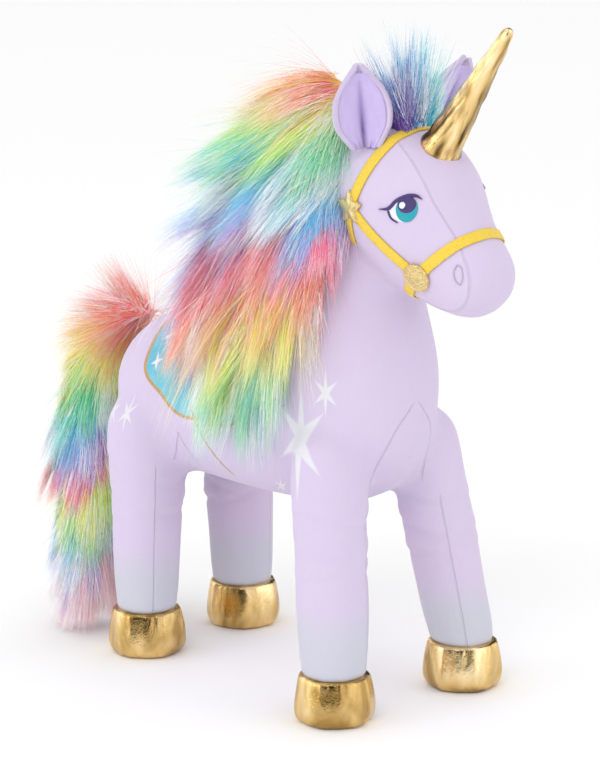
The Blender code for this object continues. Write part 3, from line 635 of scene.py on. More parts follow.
def skin_shape():
    """Body, neck, head and legs as one smooth closed surface."""
    parts = [[section_ring(s) for s in BODY_SECTIONS], [section_ring(s) for s in HEAD_SECTIONS]]
    for label, (_, hip) in LEGS.items():
        profile = LEG_PROFILE[label.split("_")[0]]
        radius = profile[-1][1]
        rings = [circle_ring(leg_centre(label, z), r) for z, r in profile]
        for h in (0.35, 0.65, 0.88, 0.98):
            rings.append(circle_ring(Vector(hip) + Vector((0, 0, radius * h)), radius * math.sqrt(1 - h * h)))
        parts.append(rings)
    verts, faces = [], []
    for rings in parts:
        more, made = tube(rings)
        faces.extend([tuple(i + len(verts) for i in face) for face in made])
        verts.extend(more)
    obj = link("skin_shape", mesh_of("skin_shape", verts, faces))
    subdivide(obj)
    reshape(obj, "REMESH", mode="VOXEL", voxel_size=0.0040, use_smooth_shade=True)
    reshape(obj, "SMOOTH", factor=0.5, iterations=7)
    return obj


def pull_of_seams(co):
    """1 on the sewn lines that hold the cloth in, 0 between them."""
    x, y, z = co.T
    on_head = smoothstep(NECK_END, NECK_END + 0.006, y * NECK_AXIS.y + z * NECK_AXIS.z)
    gusset = GUSSET_UNIT * np.interp(z, *zip(*FACE_GUSSET))
    face = np.exp(-(((np.abs(x) - gusset) / SEAM_PULL) ** 2)) * on_head
    middle = np.exp(-((x / SEAM_PULL) ** 2)) * (1 - on_head) * smoothstep(0.12, 0.13, z)
    return np.maximum(np.maximum(face, middle), smoothstep(0.0345, 0.0305, z))


def fill_with_stuffing(obj):
    """Cloth with air pressure behind it, sewn down along the seams, then capped."""
    start = coords(obj.data)
    held = pull_of_seams(start)
    set_coords(obj.data, start - normals(obj.data) * 0.0010 * (1 - held)[:, None])
    group = obj.vertex_groups.new(name="sewn")
    for index, weight in enumerate(held):
        group.add([index], float(weight), "REPLACE")
    mod = modify(obj, "CLOTH")
    cloth = mod.settings
    cloth.quality = 5
    cloth.mass = 0.25
    cloth.tension_stiffness = cloth.compression_stiffness = 18
    cloth.shear_stiffness = 6
    cloth.bending_stiffness = 1.2
    cloth.use_pressure = True
    cloth.uniform_pressure_force = 4.0
    cloth.vertex_group_mass = "sewn"
    cloth.pin_stiffness = 1.0
    cloth.effector_weights.gravity = 0.0
    mod.collision_settings.use_collision = False
    mod.point_cache.frame_start, mod.point_cache.frame_end = 1, CLOTH_FRAMES
    for step in range(1, CLOTH_FRAMES + 1):
        bpy.context.scene.frame_set(step)
    apply_modifiers(obj)
    bpy.context.scene.frame_set(1)
    move = coords(obj.data) - start
    size = np.linalg.norm(move, axis=1, keepdims=True)
    set_coords(obj.data, start + move * np.minimum(1, CLOTH_CAP / np.maximum(size, 1e-9)))
    obj.vertex_groups.clear()


def wrinkle(obj):
    """Soft creases where the stuffed legs meet the body, and small dents left by handling."""
    co, no = coords(obj.data), normals(obj.data)
    x, y, z = co.T
    push = np.zeros(len(co))
    for label, ((fx, fy), hip) in LEGS.items():
        near = np.exp(-(((x - (fx + hip[0]) / 2) / 0.032) ** 2 + ((y - (fy + hip[1]) / 2) / 0.034) ** 2) ** 2)
        inner = 0.35 + 0.65 * smoothstep(0.030, -0.012, (x - hip[0]) * side_of(label) + 0.010)
        front = 0.4 + 0.6 * (0.5 + 0.5 * np.sin(y * 170 + len(label)))
        for level, depth, tilt in ((0.098, 0.0021, 0.25), (0.087, 0.0016, -0.15), (0.118, 0.0019, 0.35)):
            at = z - level - tilt * (y - fy) - 0.0020 * np.sin(x * 210)
            push -= depth * np.exp(-((at / 0.0026) ** 2)) * near * inner * front
            push += depth * 0.6 * np.exp(-(((at - 0.005) / 0.0034) ** 2)) * near * inner
    push += np.sin(x * 95 + 1.3) * np.sin(y * 82 + 0.4) * np.sin(z * 88 + 2.2) * 0.0005
    set_coords(obj.data, co + no * push[:, None])


def side_of(label):
    return 1 if "left" in label else -1


def leg_axis(label):
    """Which way the cut round a leg faces: out, towards the leg's own end of the body, and down."""
    end = 1 if "hind" in label else -1
    return Vector((0.45 * side_of(label), 0.55 * end, -0.70)).normalized()


def in_quarter(label, c, over=0.0):
    """True in a leg's own quarter of the body, and a little over the middle line."""
    return c.x * side_of(label) > -over and (c.y > 0.005) == ("hind" in label) and c.z < 0.2


def cut_where_blends_start(bm):
    """Cuts across the neck and round each leg's top, so that neighbours share an edge."""
    bmesh.ops.bisect_plane(bm, geom=bm.verts[:] + bm.edges[:] + bm.faces[:], dist=1e-6,
                           plane_co=NECK_AXIS * NECK_START, plane_no=NECK_AXIS)
    for label, (_, hip) in LEGS.items():
        faces = [f for f in bm.faces if in_quarter(label, f.calc_center_median(), 0.004)]
        edges = list({e for f in faces for e in f.edges})
        verts = list({v for f in faces for v in f.verts})
        bmesh.ops.bisect_plane(bm, geom=verts + edges + faces, dist=1e-6, plane_co=Vector(hip),
                               plane_no=leg_axis(label))


def owner_of(c):
    """The piece of skin that a face's middle lies in."""
    if c.dot(NECK_AXIS) > NECK_START and c.z > 0.17:
        return "head"
    for label, (_, hip) in LEGS.items():
        if in_quarter(label, c) and (c - Vector(hip)).dot(leg_axis(label)) > 0:
            return label
    return "torso"


def split_skin(obj, body_velour, head_velour):
    """The skin's pieces by owner. Each keeps the normals of the whole, so that no cut shows."""
    bm = bmesh.new()
    bm.from_mesh(obj.data)
    cut_where_blends_start(bm)
    bm.normal_update()
    bm.verts.ensure_lookup_table()
    owners = [owner_of(face.calc_center_median()) for face in bm.faces]
    smooth = {v.index: v.normal.copy() for v in bm.verts}
    pieces = {}
    for own in ["torso", "head", *LEGS]:
        index, faces = {}, []
        for face, name in zip(bm.faces, owners):
            if name == own:
                faces.append([index.setdefault(v.index, len(index)) for v in face.verts])
        mesh = bpy.data.meshes.new(f"plush_{own}")
        mesh.from_pydata([bm.verts[i].co[:] for i in index], [], faces)
        mesh.shade_smooth()
        mesh.normals_split_custom_set_from_vertices([smooth[i] for i in index])
        pieces[own] = link(f"plush_{own}", mesh, head_velour if own == "head" else body_velour)
    bm.free()
    return pieces


def make_skin(body_velour, head_velour):
    """Makes the skin. Returns its whole surface, as a mesh and as a tree to cast rays at."""
    obj = skin_shape()
    fill_with_stuffing(obj)
    subdivide(obj)
    wrinkle(obj)
    pieces = split_skin(obj, body_velour, head_velour)
    declare(pieces["torso"], "lilac_plush", "side_panel_right", "side_panel_left", "belly_gusset",
            "body_stuffing", body="torso", fill=0.85)
    blend_at_neck(pieces["head"])
    declare(pieces["head"], "lilac_plush", "head_side_right", "head_side_left", "head_gusset", "head_stuffing",
            fill=0.9)
    for label, (_, hip) in LEGS.items():
        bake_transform(pieces[label])
        declare(pieces[label], "lilac_plush", f"leg_skin_{label}", f"leg_stuffing_{label}", fill=0.85)
    bm = bmesh.new()
    bm.from_mesh(obj.data)
    tree = BVHTree.FromBMesh(bm)
    bm.free()
    mesh = obj.data
    bpy.data.objects.remove(obj)
    return mesh, tree


# ---- hooves, horn, ears -------------------------------------------------------------------------
HOOF_PROFILE = [
    (0.0190, 0.0290), (0.0208, 0.0284), (0.0214, 0.0262), (0.0222, 0.0215), (0.0230, 0.0160), (0.0235, 0.0110),
    (0.0235, 0.0072), (0.0228, 0.0040), (0.0214, 0.0018), (0.0207, 0.0012), (0.0198, 0.0006), (0.0165, 0.0),
    (0.008, 0.0),
]


def make_hooves(foil):
    """Foil hooves with soft folds, puckered at the top seam and pinched at the sole."""
    rng = np.random.default_rng(5)
    for label, ((fx, fy), _) in LEGS.items():
        phases = rng.uniform(0, math.tau, 4)
        rings = []
        for r, z in HOOF_PROFILE:
            share = 1 - z / 0.0295
            ring = []
            for t in turns(64):
                fold = 0.00060 * math.sin(6 * t + phases[0]) + 0.00040 * math.sin(13 * t + phases[1])
                pucker = 0.00040 * math.sin(30 * t + phases[2]) * math.exp(-((z - 0.0270) / 0.003) ** 2)
                pinch = 0.00025 * math.sin(40 * t + phases[3]) * math.exp(-((z - 0.0025) / 0.002) ** 2)
                toe = 0.0012 * math.sin(math.pi * min(1, share)) * max(0.0, -math.sin(t)) ** 2
                radius = r + fold * (0.4 + 0.6 * share) * (z > 0.001) + pucker + pinch + toe
                ring.append(Vector((fx + radius * math.cos(t), fy + radius * math.sin(t), z)))
            rings.append(ring)
        hoof = link(f"foil_hoof_{label}", mesh_of("hoof", *tube(rings)), foil)
        subdivide(hoof)
        declare(hoof, "gold_foil", f"hoof_cover_{label}", f"hoof_sole_{label}", body=f"leg_{label}", fill=0.9)


def make_horn(foil):
    axis = HORN_TIP - HORN_BASE
    turn = axis.to_track_quat("Z", "Y").to_matrix()
    phase = np.random.default_rng(8).uniform(0, math.tau, 8)
    steps = 40
    rings = []
    for share in (k / steps for k in range(steps + 1)):
        z = -0.0035 + (axis.length + 0.0015) * share
        radius = 0.0124 + (0.0031 - 0.0124) * share
        radius += (0.0010 * math.exp(-((z - 0.003) / 0.003) ** 2)
                   - 0.0016 * math.exp(-((z + 0.0025) / 0.0022) ** 2))
        radius *= math.sqrt(max(0.0, 1 - max(0.0, (share - 0.945) / 0.058) ** 2.6))
        ring = []
        for t in turns(56):
            soft = (0.00022 * math.sin(3 * t + 26 * share + phase[0])
                    + 0.00018 * math.sin(2 * t - 41 * share + phase[1]))
            soft += (0.00014 * math.sin(5 * t + 70 * share + phase[2])
                     + 0.00012 * math.sin(11 * t - 23 * share + phase[3]))
            reach = radius + soft * min(1, radius / 0.005)
            ring.append(HORN_BASE + turn @ Vector((reach * math.cos(t), reach * math.sin(t), z)))
        rings.append(ring)
    horn = link("foil_horn", mesh_of("horn", *tube(rings)), foil)
    subdivide(horn)
    declare(horn, "gold_foil", "horn_cover", "horn_stuffing", body="horn", fill=0.9)


def ear_place(side):
    at = Matrix.Translation(Vector((SIDES[side] * EAR_AT[0], EAR_AT[1], EAR_AT[2])))
    lean = Matrix.Rotation(SIDES[side] * math.radians(EAR_LEAN[side]), 4, "Y")
    return at @ (lean @ Matrix.Rotation(SIDES[side] * math.radians(EAR_FACING[side]), 4, "Z"))


def ear_point(u, v, lift):
    """A point on the cupped leaf. u runs across from -1 to 1 and v from root to tip."""
    half = EAR_HALF_WIDTH * math.sin(math.pi * (0.15 + 0.78 * min(v, 0.995))) ** 0.75 * (1 - 0.72 * v**5)
    half *= 0.78 + 0.22 * min(1, v / 0.25)
    cup = 0.0085 * (1 - u * u) * (1 - 0.40 * v) - 0.0035
    fold = 0.0060 * math.exp(-((u / 0.13) ** 2)) * max(0.0, 1 - v / 0.80) ** 0.7
    puff = 0.0012 * math.sin(math.pi * min(1.0, abs(u) / 0.85)) * (1 - v) if lift else 0.0
    return Vector((u * half, cup + fold - lift - puff, v * EAR_HEIGHT))


def make_ear(name, side, scale, lift, thickness, high, velvet, slot, stands_for):
    place = ear_place(side)
    rows, painted_crease_shade = [], []
    for k in range(41):
        v = high * k / 40
        row = []
        for j in range(33):
            u = (2 * j / 32 - 1) * scale
            p = ear_point(u, v, lift)
            p.y += 0.0010 * math.sin(u * 17) * max(0.0, 1 - v / 0.20)
            row.append(place @ p)
            # How much painted shade darkens each point: in the middle fold, along the rim and at the root.
            deep = math.exp(-((u / 0.10) ** 2)) * max(0.0, 1 - v / 0.86) ** 0.5
            painted_crease_shade.append(max(deep, 0.25 * smoothstep(0.90, 1.0, abs(u) / scale), 0.3 * max(0, 1 - v / 0.10)))
        rows.append(row)
    mesh = mesh_of(name, *grid(rows))
    mesh.attributes.new("fold", "FLOAT", "POINT").data.foreach_set("value", [float(c) for c in painted_crease_shade])
    ear = link(f"{name}_{side}", mesh, velvet)
    modify(ear, "SOLIDIFY", thickness=thickness, offset=0.0)
    subdivide(ear)
    declare(ear, slot, f"{stands_for}_{side}", body=f"ear_{side}", fill=0.4)


def make_ears(outer_velour, lining_velour):
    for side in SIDES:
        make_ear("ear_back", side, 1.0, 0.0, 0.0030, 1.0, outer_velour, "lilac_plush", "ear_outer")
        make_ear("ear_inside", side, 0.80, 0.0022, 0.0012, 0.90, lining_velour, "inner_lilac", "ear_lining")


# ---- ribbon halter and badges -------------------------------------------------------------------
def strip(name, surface, start, end, width, keep, past=0.0, tuck=0.0):
    """The head's own surface between two planes, raised and ready to be thickened into ribbon.

    A tucked end sinks into the cloth over its last few millimetres."""
    start, end = Vector((0, *start)), Vector((0, *end))
    along = (end - start).normalized()
    across = Vector((1, 0, 0)).cross(along)
    bm = bmesh.new()
    bm.from_mesh(surface)
    middles = [(f, f.calc_center_median()) for f in bm.faces]
    outside = [f for f, c in middles if not keep(c) or c.dot(NECK_AXIS) < 0.238]
    bmesh.ops.delete(bm, geom=outside, context="FACES")
    planes = [(start + across * width / 2, across), (start - across * width / 2, -across),
              (start - along * past, -along), (end + along * past, along)]
    for co, no in planes:
        bmesh.ops.bisect_plane(bm, geom=bm.verts[:] + bm.edges[:] + bm.faces[:], dist=1e-7,
                               plane_co=co, plane_no=no, clear_outer=True)
    bmesh.ops.delete(bm, geom=[v for v in bm.verts if not v.link_faces], context="VERTS")
    bm.normal_update()
    for v in bm.verts:
        off = abs((v.co - start).dot(across)) / (width / 2)
        left = (end - v.co).dot(along) + past
        v.co += v.normal * (RIBBON_LIFT + 0.00018 * (1 - off * off) - tuck * (1 - smoothstep(0.0, 0.004, left)))
    mesh = bpy.data.meshes.new(name)
    bm.to_mesh(mesh)
    bm.free()
    mesh.shade_smooth()
    return mesh


def make_halter(surface, ribbon):
    def add(name, stands_for, *arguments, **settings):
        obj = link(name, strip(name, surface, *arguments, **settings), ribbon)
        reshape(obj, "SOLIDIFY", thickness=RIBBON_THICK, offset=1.0)
        declare(obj, "yellow_ribbon", stands_for, body="head")

    add("ribbon_crown", "crown_band", CROWN_TOP, SIDE_STAR, RIBBON_WIDTH, lambda c: c.z > 0.295, past=0.006)
    add("ribbon_nose", "noseband", NOSE_TOP, MEDAL, RIBBON_WIDTH, lambda c: c.y < -0.12, past=0.045)
    for side, sign in SIDES.items():
        def here(c):
            return c.x * sign > 0.012

        add(f"ribbon_cheek_{side}", f"cheek_strap_{side}", SIDE_STAR, MEDAL, RIBBON_WIDTH, here)
        add(f"ribbon_throat_{side}", f"throat_strap_{side}", *THROAT_STRAP, RIBBON_WIDTH * 0.8, here,
            tuck=0.0022)


def on_head(tree, y, z, sign):
    """The head's surface point and normal seen from its side at y, z."""
    hit, normal, _, _ = tree.ray_cast(Vector((sign * 0.12, y, z)), Vector((-sign, 0, 0)))
    return hit, normal


def badge_frame(tree, at, sign, lift):
    """Where a badge sits flat on the cheek, facing the way the cloth round it faces."""
    hit, normal = on_head(tree, *at, sign)
    about = ((0.006, 0), (-0.006, 0), (0, 0.006), (0, -0.006))
    around = [on_head(tree, at[0] + dy, at[1] + dz, sign)[1] for dy, dz in about]
    facing = sum(around, normal).normalized()
    up = (Vector((0, 0, 1)) - facing * facing.z).normalized()
    turn = Matrix((up.cross(facing), up, facing)).transposed().to_4x4()
    return Matrix.Translation(hit + facing * lift) @ turn


def star_radius(t):
    return 0.0052 + (0.0100 - 0.0052) * (abs((t * 5 / math.tau) % 1 - 0.5) * 2)**1.3


def make_badges(tree, glitter):
    profile = [(0.0075, -0.0012), (0.0085, -0.0008), (0.0088, 0.0002), (0.0085, 0.0012), (0.0079, 0.0016),
               (0.0075, 0.0013), (0.0070, 0.0013), (0.0042, 0.0018), (0.0012, 0.0020)]
    domed = ((1.02, -0.0008), (1.06, 0.0004), (1.0, 0.0012), (0.86, 0.0016), (0.5, 0.0021), (0.15, 0.0024))
    for side, sign in SIDES.items():
        place = badge_frame(tree, MEDAL, sign, 0.0012)
        disc = [[place @ Vector((r * math.cos(t), r * math.sin(t), z)) for t in turns(48)] for r, z in profile]
        place = badge_frame(tree, SIDE_STAR, sign, 0.0010)
        star = [[place @ Vector((star_radius(t) * scale * math.sin(t), star_radius(t) * scale * math.cos(t), z))
                 for t in turns(60)] for scale, z in domed]
        for name, stands_for, rings in (("medallion", "medallion", disc), ("star", "side_star", star)):
            badge = link(f"glitter_{name}_{side}", mesh_of(name, *tube(rings)), glitter)
            declare(badge, "gold_trim", f"{stands_for}_{side}", body="head")


# ---- embroidery ---------------------------------------------------------------------------------
def lay(tree, at, sign, points, height):
    """Lays local points (forward, up) on the head's side, height above it."""
    placed = []
    for forward, up in points:
        hit, normal = on_head(tree, at[0] - forward, at[1] + up, sign)
        placed.append(hit + normal * height)
    return placed


def smooth_outline(points, count=72):
    """A closed smooth curve through a few points."""
    made = []
    for k in range(count):
        place = k / count * len(points)
        i = int(place)
        p = spline([Vector(points[(i + d) % len(points)]) for d in (-1, 0, 1, 2)], place - i)
        made.append((p.x, p.y))
    return made


def oval(cx, cy, rx, ry):
    return [(cx + rx * math.cos(t), cy + ry * math.sin(t)) for t in turns(64)]


# How far out, and how high, each ring of a patch and each row of a stroke is stitched.
PATCH_DOME = (1.0, -0.25), (0.985, 0.35), (0.93, 0.8), (0.8, 1.0), (0.55, 1.05), (0.25, 1.05), (0.04, 1.05)
STROKE_DOME = (-1, -0.3), (-0.85, 0.6), (-0.45, 1.0), (0, 1.05), (0.45, 1.0), (0.85, 0.6), (1, -0.3)


def patch(name, tree, at, sign, outline, low, high, material):
    """A puffed, satin-stitched area inside a closed outline."""
    cx = sum(p[0] for p in outline) / len(outline)
    cy = sum(p[1] for p in outline) / len(outline)
    rings = []
    for share, rise in PATCH_DOME:
        points = [(cx + (x - cx) * share, cy + (y - cy) * share) for x, y in outline]
        rings.append(lay(tree, at, sign, points, low + (high - low) * rise))
    verts, faces = tube(rings, closed_ends=False)
    faces.append(tuple(len(verts) - len(outline) + i for i in range(len(outline))))
    return link(name, mesh_of(name, verts, faces), material)


def stroke_points(path, widths, count=40):
    """Points, directions across and widths of a tapering stroke along a smooth open path."""
    pts = [Vector(p) for p in path]
    pts = [pts[0] * 2 - pts[1], *pts, pts[-1] * 2 - pts[-2]]
    made = []
    for k in range(count + 1):
        place = k / count * (len(path) - 1)
        i = min(int(place), len(path) - 2)
        t = place - i
        made.append((spline(pts[i: i + 4], t), widths[i] + (widths[i + 1] - widths[i]) * t))
    edges = []
    for k, (at, width) in enumerate(made):
        along = (made[min(k + 1, count)][0] - made[max(k - 1, 0)][0]).normalized()
        edges.append((at, Vector((-along.y, along.x)), width))
    return edges


def stroke(name, tree, at, sign, path, widths, low, high, material):
    rows = []
    for point, across, width in stroke_points(path, widths):
        row = []
        for share, rise in STROKE_DOME:
            p = point + across * (width / 2 * share)
            row.append(lay(tree, at, sign, [(p.x, p.y)], low + (high - low) * rise)[0])
        rows.append(row)
    return link(name, mesh_of(name, *grid(rows)), material)


# Outlines and strokes of the face, as (forward, up) from the eye or the nostril.
SCLERA = [(-0.0100, -0.0020), (-0.0062, 0.0024), (-0.0010, 0.0050), (0.0026, 0.0010), (0.0006, -0.0070),
          (-0.0044, -0.0074), (-0.0080, -0.0056)]
LID = [(-0.0165, -0.0018), (-0.0098, -0.0006), (-0.0055, 0.0042), (0.0002, 0.0072), (0.0044, 0.0074),
       (0.0078, 0.0056)]
LID_WIDTHS = [0.0002, 0.0024, 0.0021, 0.0023, 0.0018, 0.0003]
UNDER, UNDER_WIDTHS = [(-0.0100, -0.0022), (-0.0078, -0.0062), (-0.0038, -0.0084)], [0.0016, 0.0013, 0.0004]
NOSTRIL = [(-0.0016, 0.0054), (-0.0030, 0.0012), (-0.0016, -0.0034), (0.0014, -0.0054), (0.0028, -0.0014),
           (0.0014, 0.0040), (-0.0016, 0.0054)]
NOSTRIL_WIDTHS = [0.0009, 0.0010, 0.0010, 0.0010, 0.0010, 0.0009, 0.0009]


def make_face(tree):
    navy = make_thread("navy_thread", (0.030, 0.012, 0.110, 1), (0.085, 0.05, 0.22, 1))
    teal = make_thread("teal_thread", (0.0, 0.27, 0.36, 1), (0.02, 0.50, 0.58, 1), -0.5)
    white = make_thread("white_thread", (0.78, 0.80, 0.86, 1), (0.96, 0.97, 1.0, 1))
    lilac = make_thread("lilac_thread", (0.46, 0.37, 0.56, 1), (0.60, 0.50, 0.68, 1))
    iris = [(x, min(y, 0.0072)) for x, y in oval(0.0006, -0.0004, 0.0060, 0.0072)]
    for side, sign in SIDES.items():
        at = (tree, EYE_AT, sign)
        sclera = patch(f"eye_white_{side}", *at, smooth_outline(SCLERA), 0.0, 0.00045, white)
        ring = patch(f"eye_ring_{side}", *at, iris, 0.0004, 0.00080, teal)
        pupil = patch(f"eye_pupil_{side}", *at, oval(0.0006, 0.0022, 0.0050, 0.0047), 0.0007, 0.0011, navy)
        glint = patch(f"eye_glint_{side}", *at, oval(-0.0016, 0.0018, 0.0017, 0.0019), 0.0010, 0.0014, white)
        lid = stroke(f"eye_lid_{side}", *at, LID, LID_WIDTHS, 0.0003, 0.0012, navy)
        under = stroke(f"eye_under_{side}", *at, UNDER, UNDER_WIDTHS, 0.0003, 0.0010, navy)
        declare(sclera, "white_thread", f"eye_patch_{side}", body="head")
        declare(ring, "teal_thread", f"eye_iris_{side}", body="head")
        declare(pupil, "teal_thread", body="head")
        declare(glint, "white_thread", body="head")
        declare(lid, "teal_thread", body="head")
        declare(under, "teal_thread", body="head")
        slit = stroke(f"nostril_thread_{side}", tree, NOSTRIL_AT, sign, NOSTRIL, NOSTRIL_WIDTHS,
                      0.0001, 0.0006, lilac)
        declare(slit, "lilac_thread", f"nostril_{side}", body="head")


# ---- fur ----------------------------------------------------------------------------------------
def sample(mesh, count, rng, weight):
    """Points spread over a mesh by weight, and the surface's normals there."""
    mesh.calc_loop_triangles()
    tris = np.zeros(len(mesh.loop_triangles) * 3, int)
    mesh.loop_triangles.foreach_get("vertices", tris)
    tris = tris.reshape(-1, 3)
    co, no = coords(mesh), normals(mesh)
    a, b, c = co[tris[:, 0]], co[tris[:, 1]], co[tris[:, 2]]
    area = np.linalg.norm(np.cross(b - a, c - a), axis=1) / 2
    area = area * weight((a + b + c) / 3, unit(no[tris].mean(1)))
    picked = rng.choice(len(tris), count, p=area / area.sum())
    r1, r2 = np.sqrt(rng.random(count)), rng.random(count)
    w = np.stack([1 - r1, r1 * (1 - r2), r1 * r2], 1)[:, :, None]
    return (co[tris[picked]] * w).sum(1), unit((no[tris[picked]] * w).sum(1))


def lock_of(roots, centres):
    """For each root, which lock's middle is nearest."""
    nearest = np.zeros(len(roots), int)
    for first in range(0, len(roots), 4000):
        gaps = ((roots[first:first + 4000, None, :] - roots[None, centres, :]) ** 2).sum(2)
        nearest[first:first + 4000] = gaps.argmin(1)
    return nearest


def set_strand_map(mesh, corners, u, v):
    """Each strand's map: u is its place in the rainbow, with a little width, and v runs root to tip."""
    ends = [np.stack([np.repeat(u[:, None] + step, v.shape[1], 1), v], 2) for step in (-0.001, 0.001)]
    uv = np.stack(ends, 2).reshape(-1, 2)[corners]
    mesh.uv_layers.new(name="OFBake").uv.foreach_set("vector", uv.astype(np.float32).ravel())


def grow(name, material, roots, outward, way, length, band, rng, clumps, pull=0.84, sag=0.25, spread=0.20,
         keep_in=None):
    """Tapered strands from roots along their ways, drawn together into locks."""
    count = len(roots)
    centres = rng.choice(count, clumps, replace=False)
    lock = lock_of(roots, centres)
    lock_way = rng.normal(0, spread, (clumps, 3))
    lock_length = rng.uniform(0.78, 1.16, clumps)
    lock_band = rng.normal(0, 0.026, clumps)
    way = unit(way + lock_way[lock] + rng.normal(0, 0.045, (count, 3)))
    wild = rng.random(count) < 0.07
    way[wild] = unit(way[wild] + rng.normal(0, 0.22, (wild.sum(), 3)) + outward[wild] * 0.15)
    length = length * lock_length[lock] * rng.uniform(0.70, 1.10, count)
    drawn = rng.uniform(pull - 0.22, pull + 0.12, count)
    drawn[wild] = 0.0
    down = np.array([0.0, 0.0, -1.0])
    phase, waves = rng.uniform(0, math.tau, clumps)[lock], rng.uniform(0.6, 1.6, clumps)[lock]
    side = unit(np.cross(way, outward))
    t = np.linspace(0, 1, STRAND_SEGMENTS + 1)
    line = np.zeros((count, len(t), 3))
    for k, share in enumerate(t):
        bend = (down - way * (way @ down)[:, None]) * sag * share * share
        step = (way * share + bend) * length[:, None]
        together = (roots[centres][lock] - roots) * (drawn * share ** 1.3)[:, None]
        sway = side * (np.sin(phase + waves * share * 4.0) * STRAND_WAVE * share)[:, None]
        line[:, k] = roots + step + together + sway
    if keep_in:
        line = keep_in(line)
    along = unit(np.gradient(line, axis=1))
    flat = unit(np.cross(along, outward[:, None, :]))
    lift = unit(np.cross(flat, along))
    roll = rng.uniform(-0.35, 0.35, count)[:, None, None]
    flat, lift = flat * np.cos(roll) + lift * np.sin(roll), lift * np.cos(roll) - flat * np.sin(roll)
    thick = STRAND_WIDTH * rng.uniform(0.75, 1.25, count)[:, None] * (0.10 + 0.90 * (1 - t[None, :] ** 1.5))
    half = flat * thick[:, :, None] / 2
    verts = np.stack([line - half, line + half], 2).reshape(-1, 3)
    base = (np.arange(count) * len(t) * 2)[:, None, None] + (np.arange(STRAND_SEGMENTS) * 2)[None, :, None]
    quads = (base + np.array([0, 1, 3, 2])[None, None, :]).ravel()
    mesh = bpy.data.meshes.new(name)
    mesh.vertices.add(len(verts))
    mesh.vertices.foreach_set("co", verts.astype(np.float32).ravel())
    mesh.loops.add(quads.size)
    mesh.loops.foreach_set("vertex_index", quads.astype(np.int32))
    mesh.polygons.add(quads.size // 4)
    mesh.polygons.foreach_set("loop_start", np.arange(0, quads.size, 4, dtype=np.int32))
    mesh.update(calc_edges=True)
    mesh.shade_smooth()
    frosted = (rng.random(clumps)[lock] + rng.normal(0, 0.07, count)) < FROSTED_SHARE
    u = (np.clip(band + lock_band[lock], 0.008, 0.992) + frosted) / 2
    set_strand_map(mesh, quads, u, np.clip(t[None, :] * rng.uniform(0.80, 1.15, count)[:, None], 0, 0.999))
    # The pile is shaded mostly as the lock it lies in, so that it looks soft.
    soft = unit(outward[:, None, :] * 0.65 + lift * 0.5)
    mesh.normals_split_custom_set_from_vertices(np.repeat(soft, 2, axis=1).reshape(-1, 3).tolist())
    return link(name, mesh, material)


def underfur(name, mesh, material, band):
    """The thick base of the pile, which the strands stand in, coloured with the painted shade of the roots."""
    obj = link(name, mesh, material)
    loops = np.zeros(len(mesh.loops), int)
    mesh.loops.foreach_get("vertex_index", loops)
    co = coords(mesh)
    u = np.clip(band(co), 0.01, 0.99) / 2
    v = 0.10 + 0.08 * np.sin(co[:, 0] * 900) * np.sin(co[:, 1] * 1100)
    uv = np.stack([u[loops], v[loops]], 1).astype(np.float32)
    mesh.uv_layers.new(name="OFBake").uv.foreach_set("vector", uv.ravel())
    return obj


def fur_core(name, rings, voxel):
    obj = link(name, mesh_of(name, *tube(rings)))
    subdivide(obj)
    modify(obj, "REMESH", mode="VOXEL", voxel_size=voxel, use_smooth_shade=True)
    reshape(obj, "SMOOTH", factor=0.5, iterations=6)
    mesh = obj.data
    bpy.data.objects.remove(obj)
    return mesh


def lie_on(run, n):
    """A way of falling that doesn't press into the surface it lies on."""
    return unit(run - n * np.minimum((run * n).sum(1), 0)[:, None] * 0.9)


def mane_core():
    rings = []
    for y, low, high in MANE_SECTIONS:
        rings.append([Vector((-0.0300 + 0.0200 * math.sin(t) + 0.0120 * math.cos(t), y,
                              (low + high) / 2 + (high - low) / 2 * math.sin(t))) for t in turns(24)])
    return fur_core("mane_core", rings, 0.005)


def mane_band(p):
    """Where a root lies along the printed rainbow, from the poll down to the shoulder."""
    y, z = p[:, 1], p[:, 2]
    fall = (0.396 - z) / 0.235 - 0.20 * smoothstep(-0.04, 0.040, y) - 0.05 * smoothstep(0.34, 0.38, z)
    sway = 0.020 * np.sin(y * 110 + 0.6) + 0.012 * np.sin(y * 260 + z * 90)
    return np.clip(fall + sway, 0.0, 1.0)


def mane_way(p, n):
    """The pile falls back from the poll, then down over the shoulder."""
    y, z = p[:, 1], p[:, 2]
    high = smoothstep(0.255, 0.340, z)
    back = smoothstep(-0.080, 0.025, y)
    backward = 0.06 - 0.05 * back + high * (0.20 + 0.70 * back)
    run = np.stack([-0.20 - 0.10 * high, backward, -1.0 + 0.55 * high], 1)
    return lie_on(run, n) + n * (0.16 + 0.08 * high)[:, None]


def mane_weight(c, n):
    """Most strands stand on the mane's outer side and along its top, fewer on its inner side."""
    near = smoothstep(0.35, -0.15, n[:, 0]) * (0.45 + 0.55 * smoothstep(0.19, 0.25, c[:, 2]))
    return near + 0.45 * (n[:, 2] > 0.3) + 0.40 * smoothstep(0.15, 0.45, n[:, 0]) * (c[:, 1] > -0.075)


def inside_width(line):
    edge = CAD_BOX[0][0] - 0.0090
    line[:, :, 0] = np.where(line[:, :, 0] < edge, edge + (line[:, :, 0] - edge) * 0.12, line[:, :, 0])
    return line


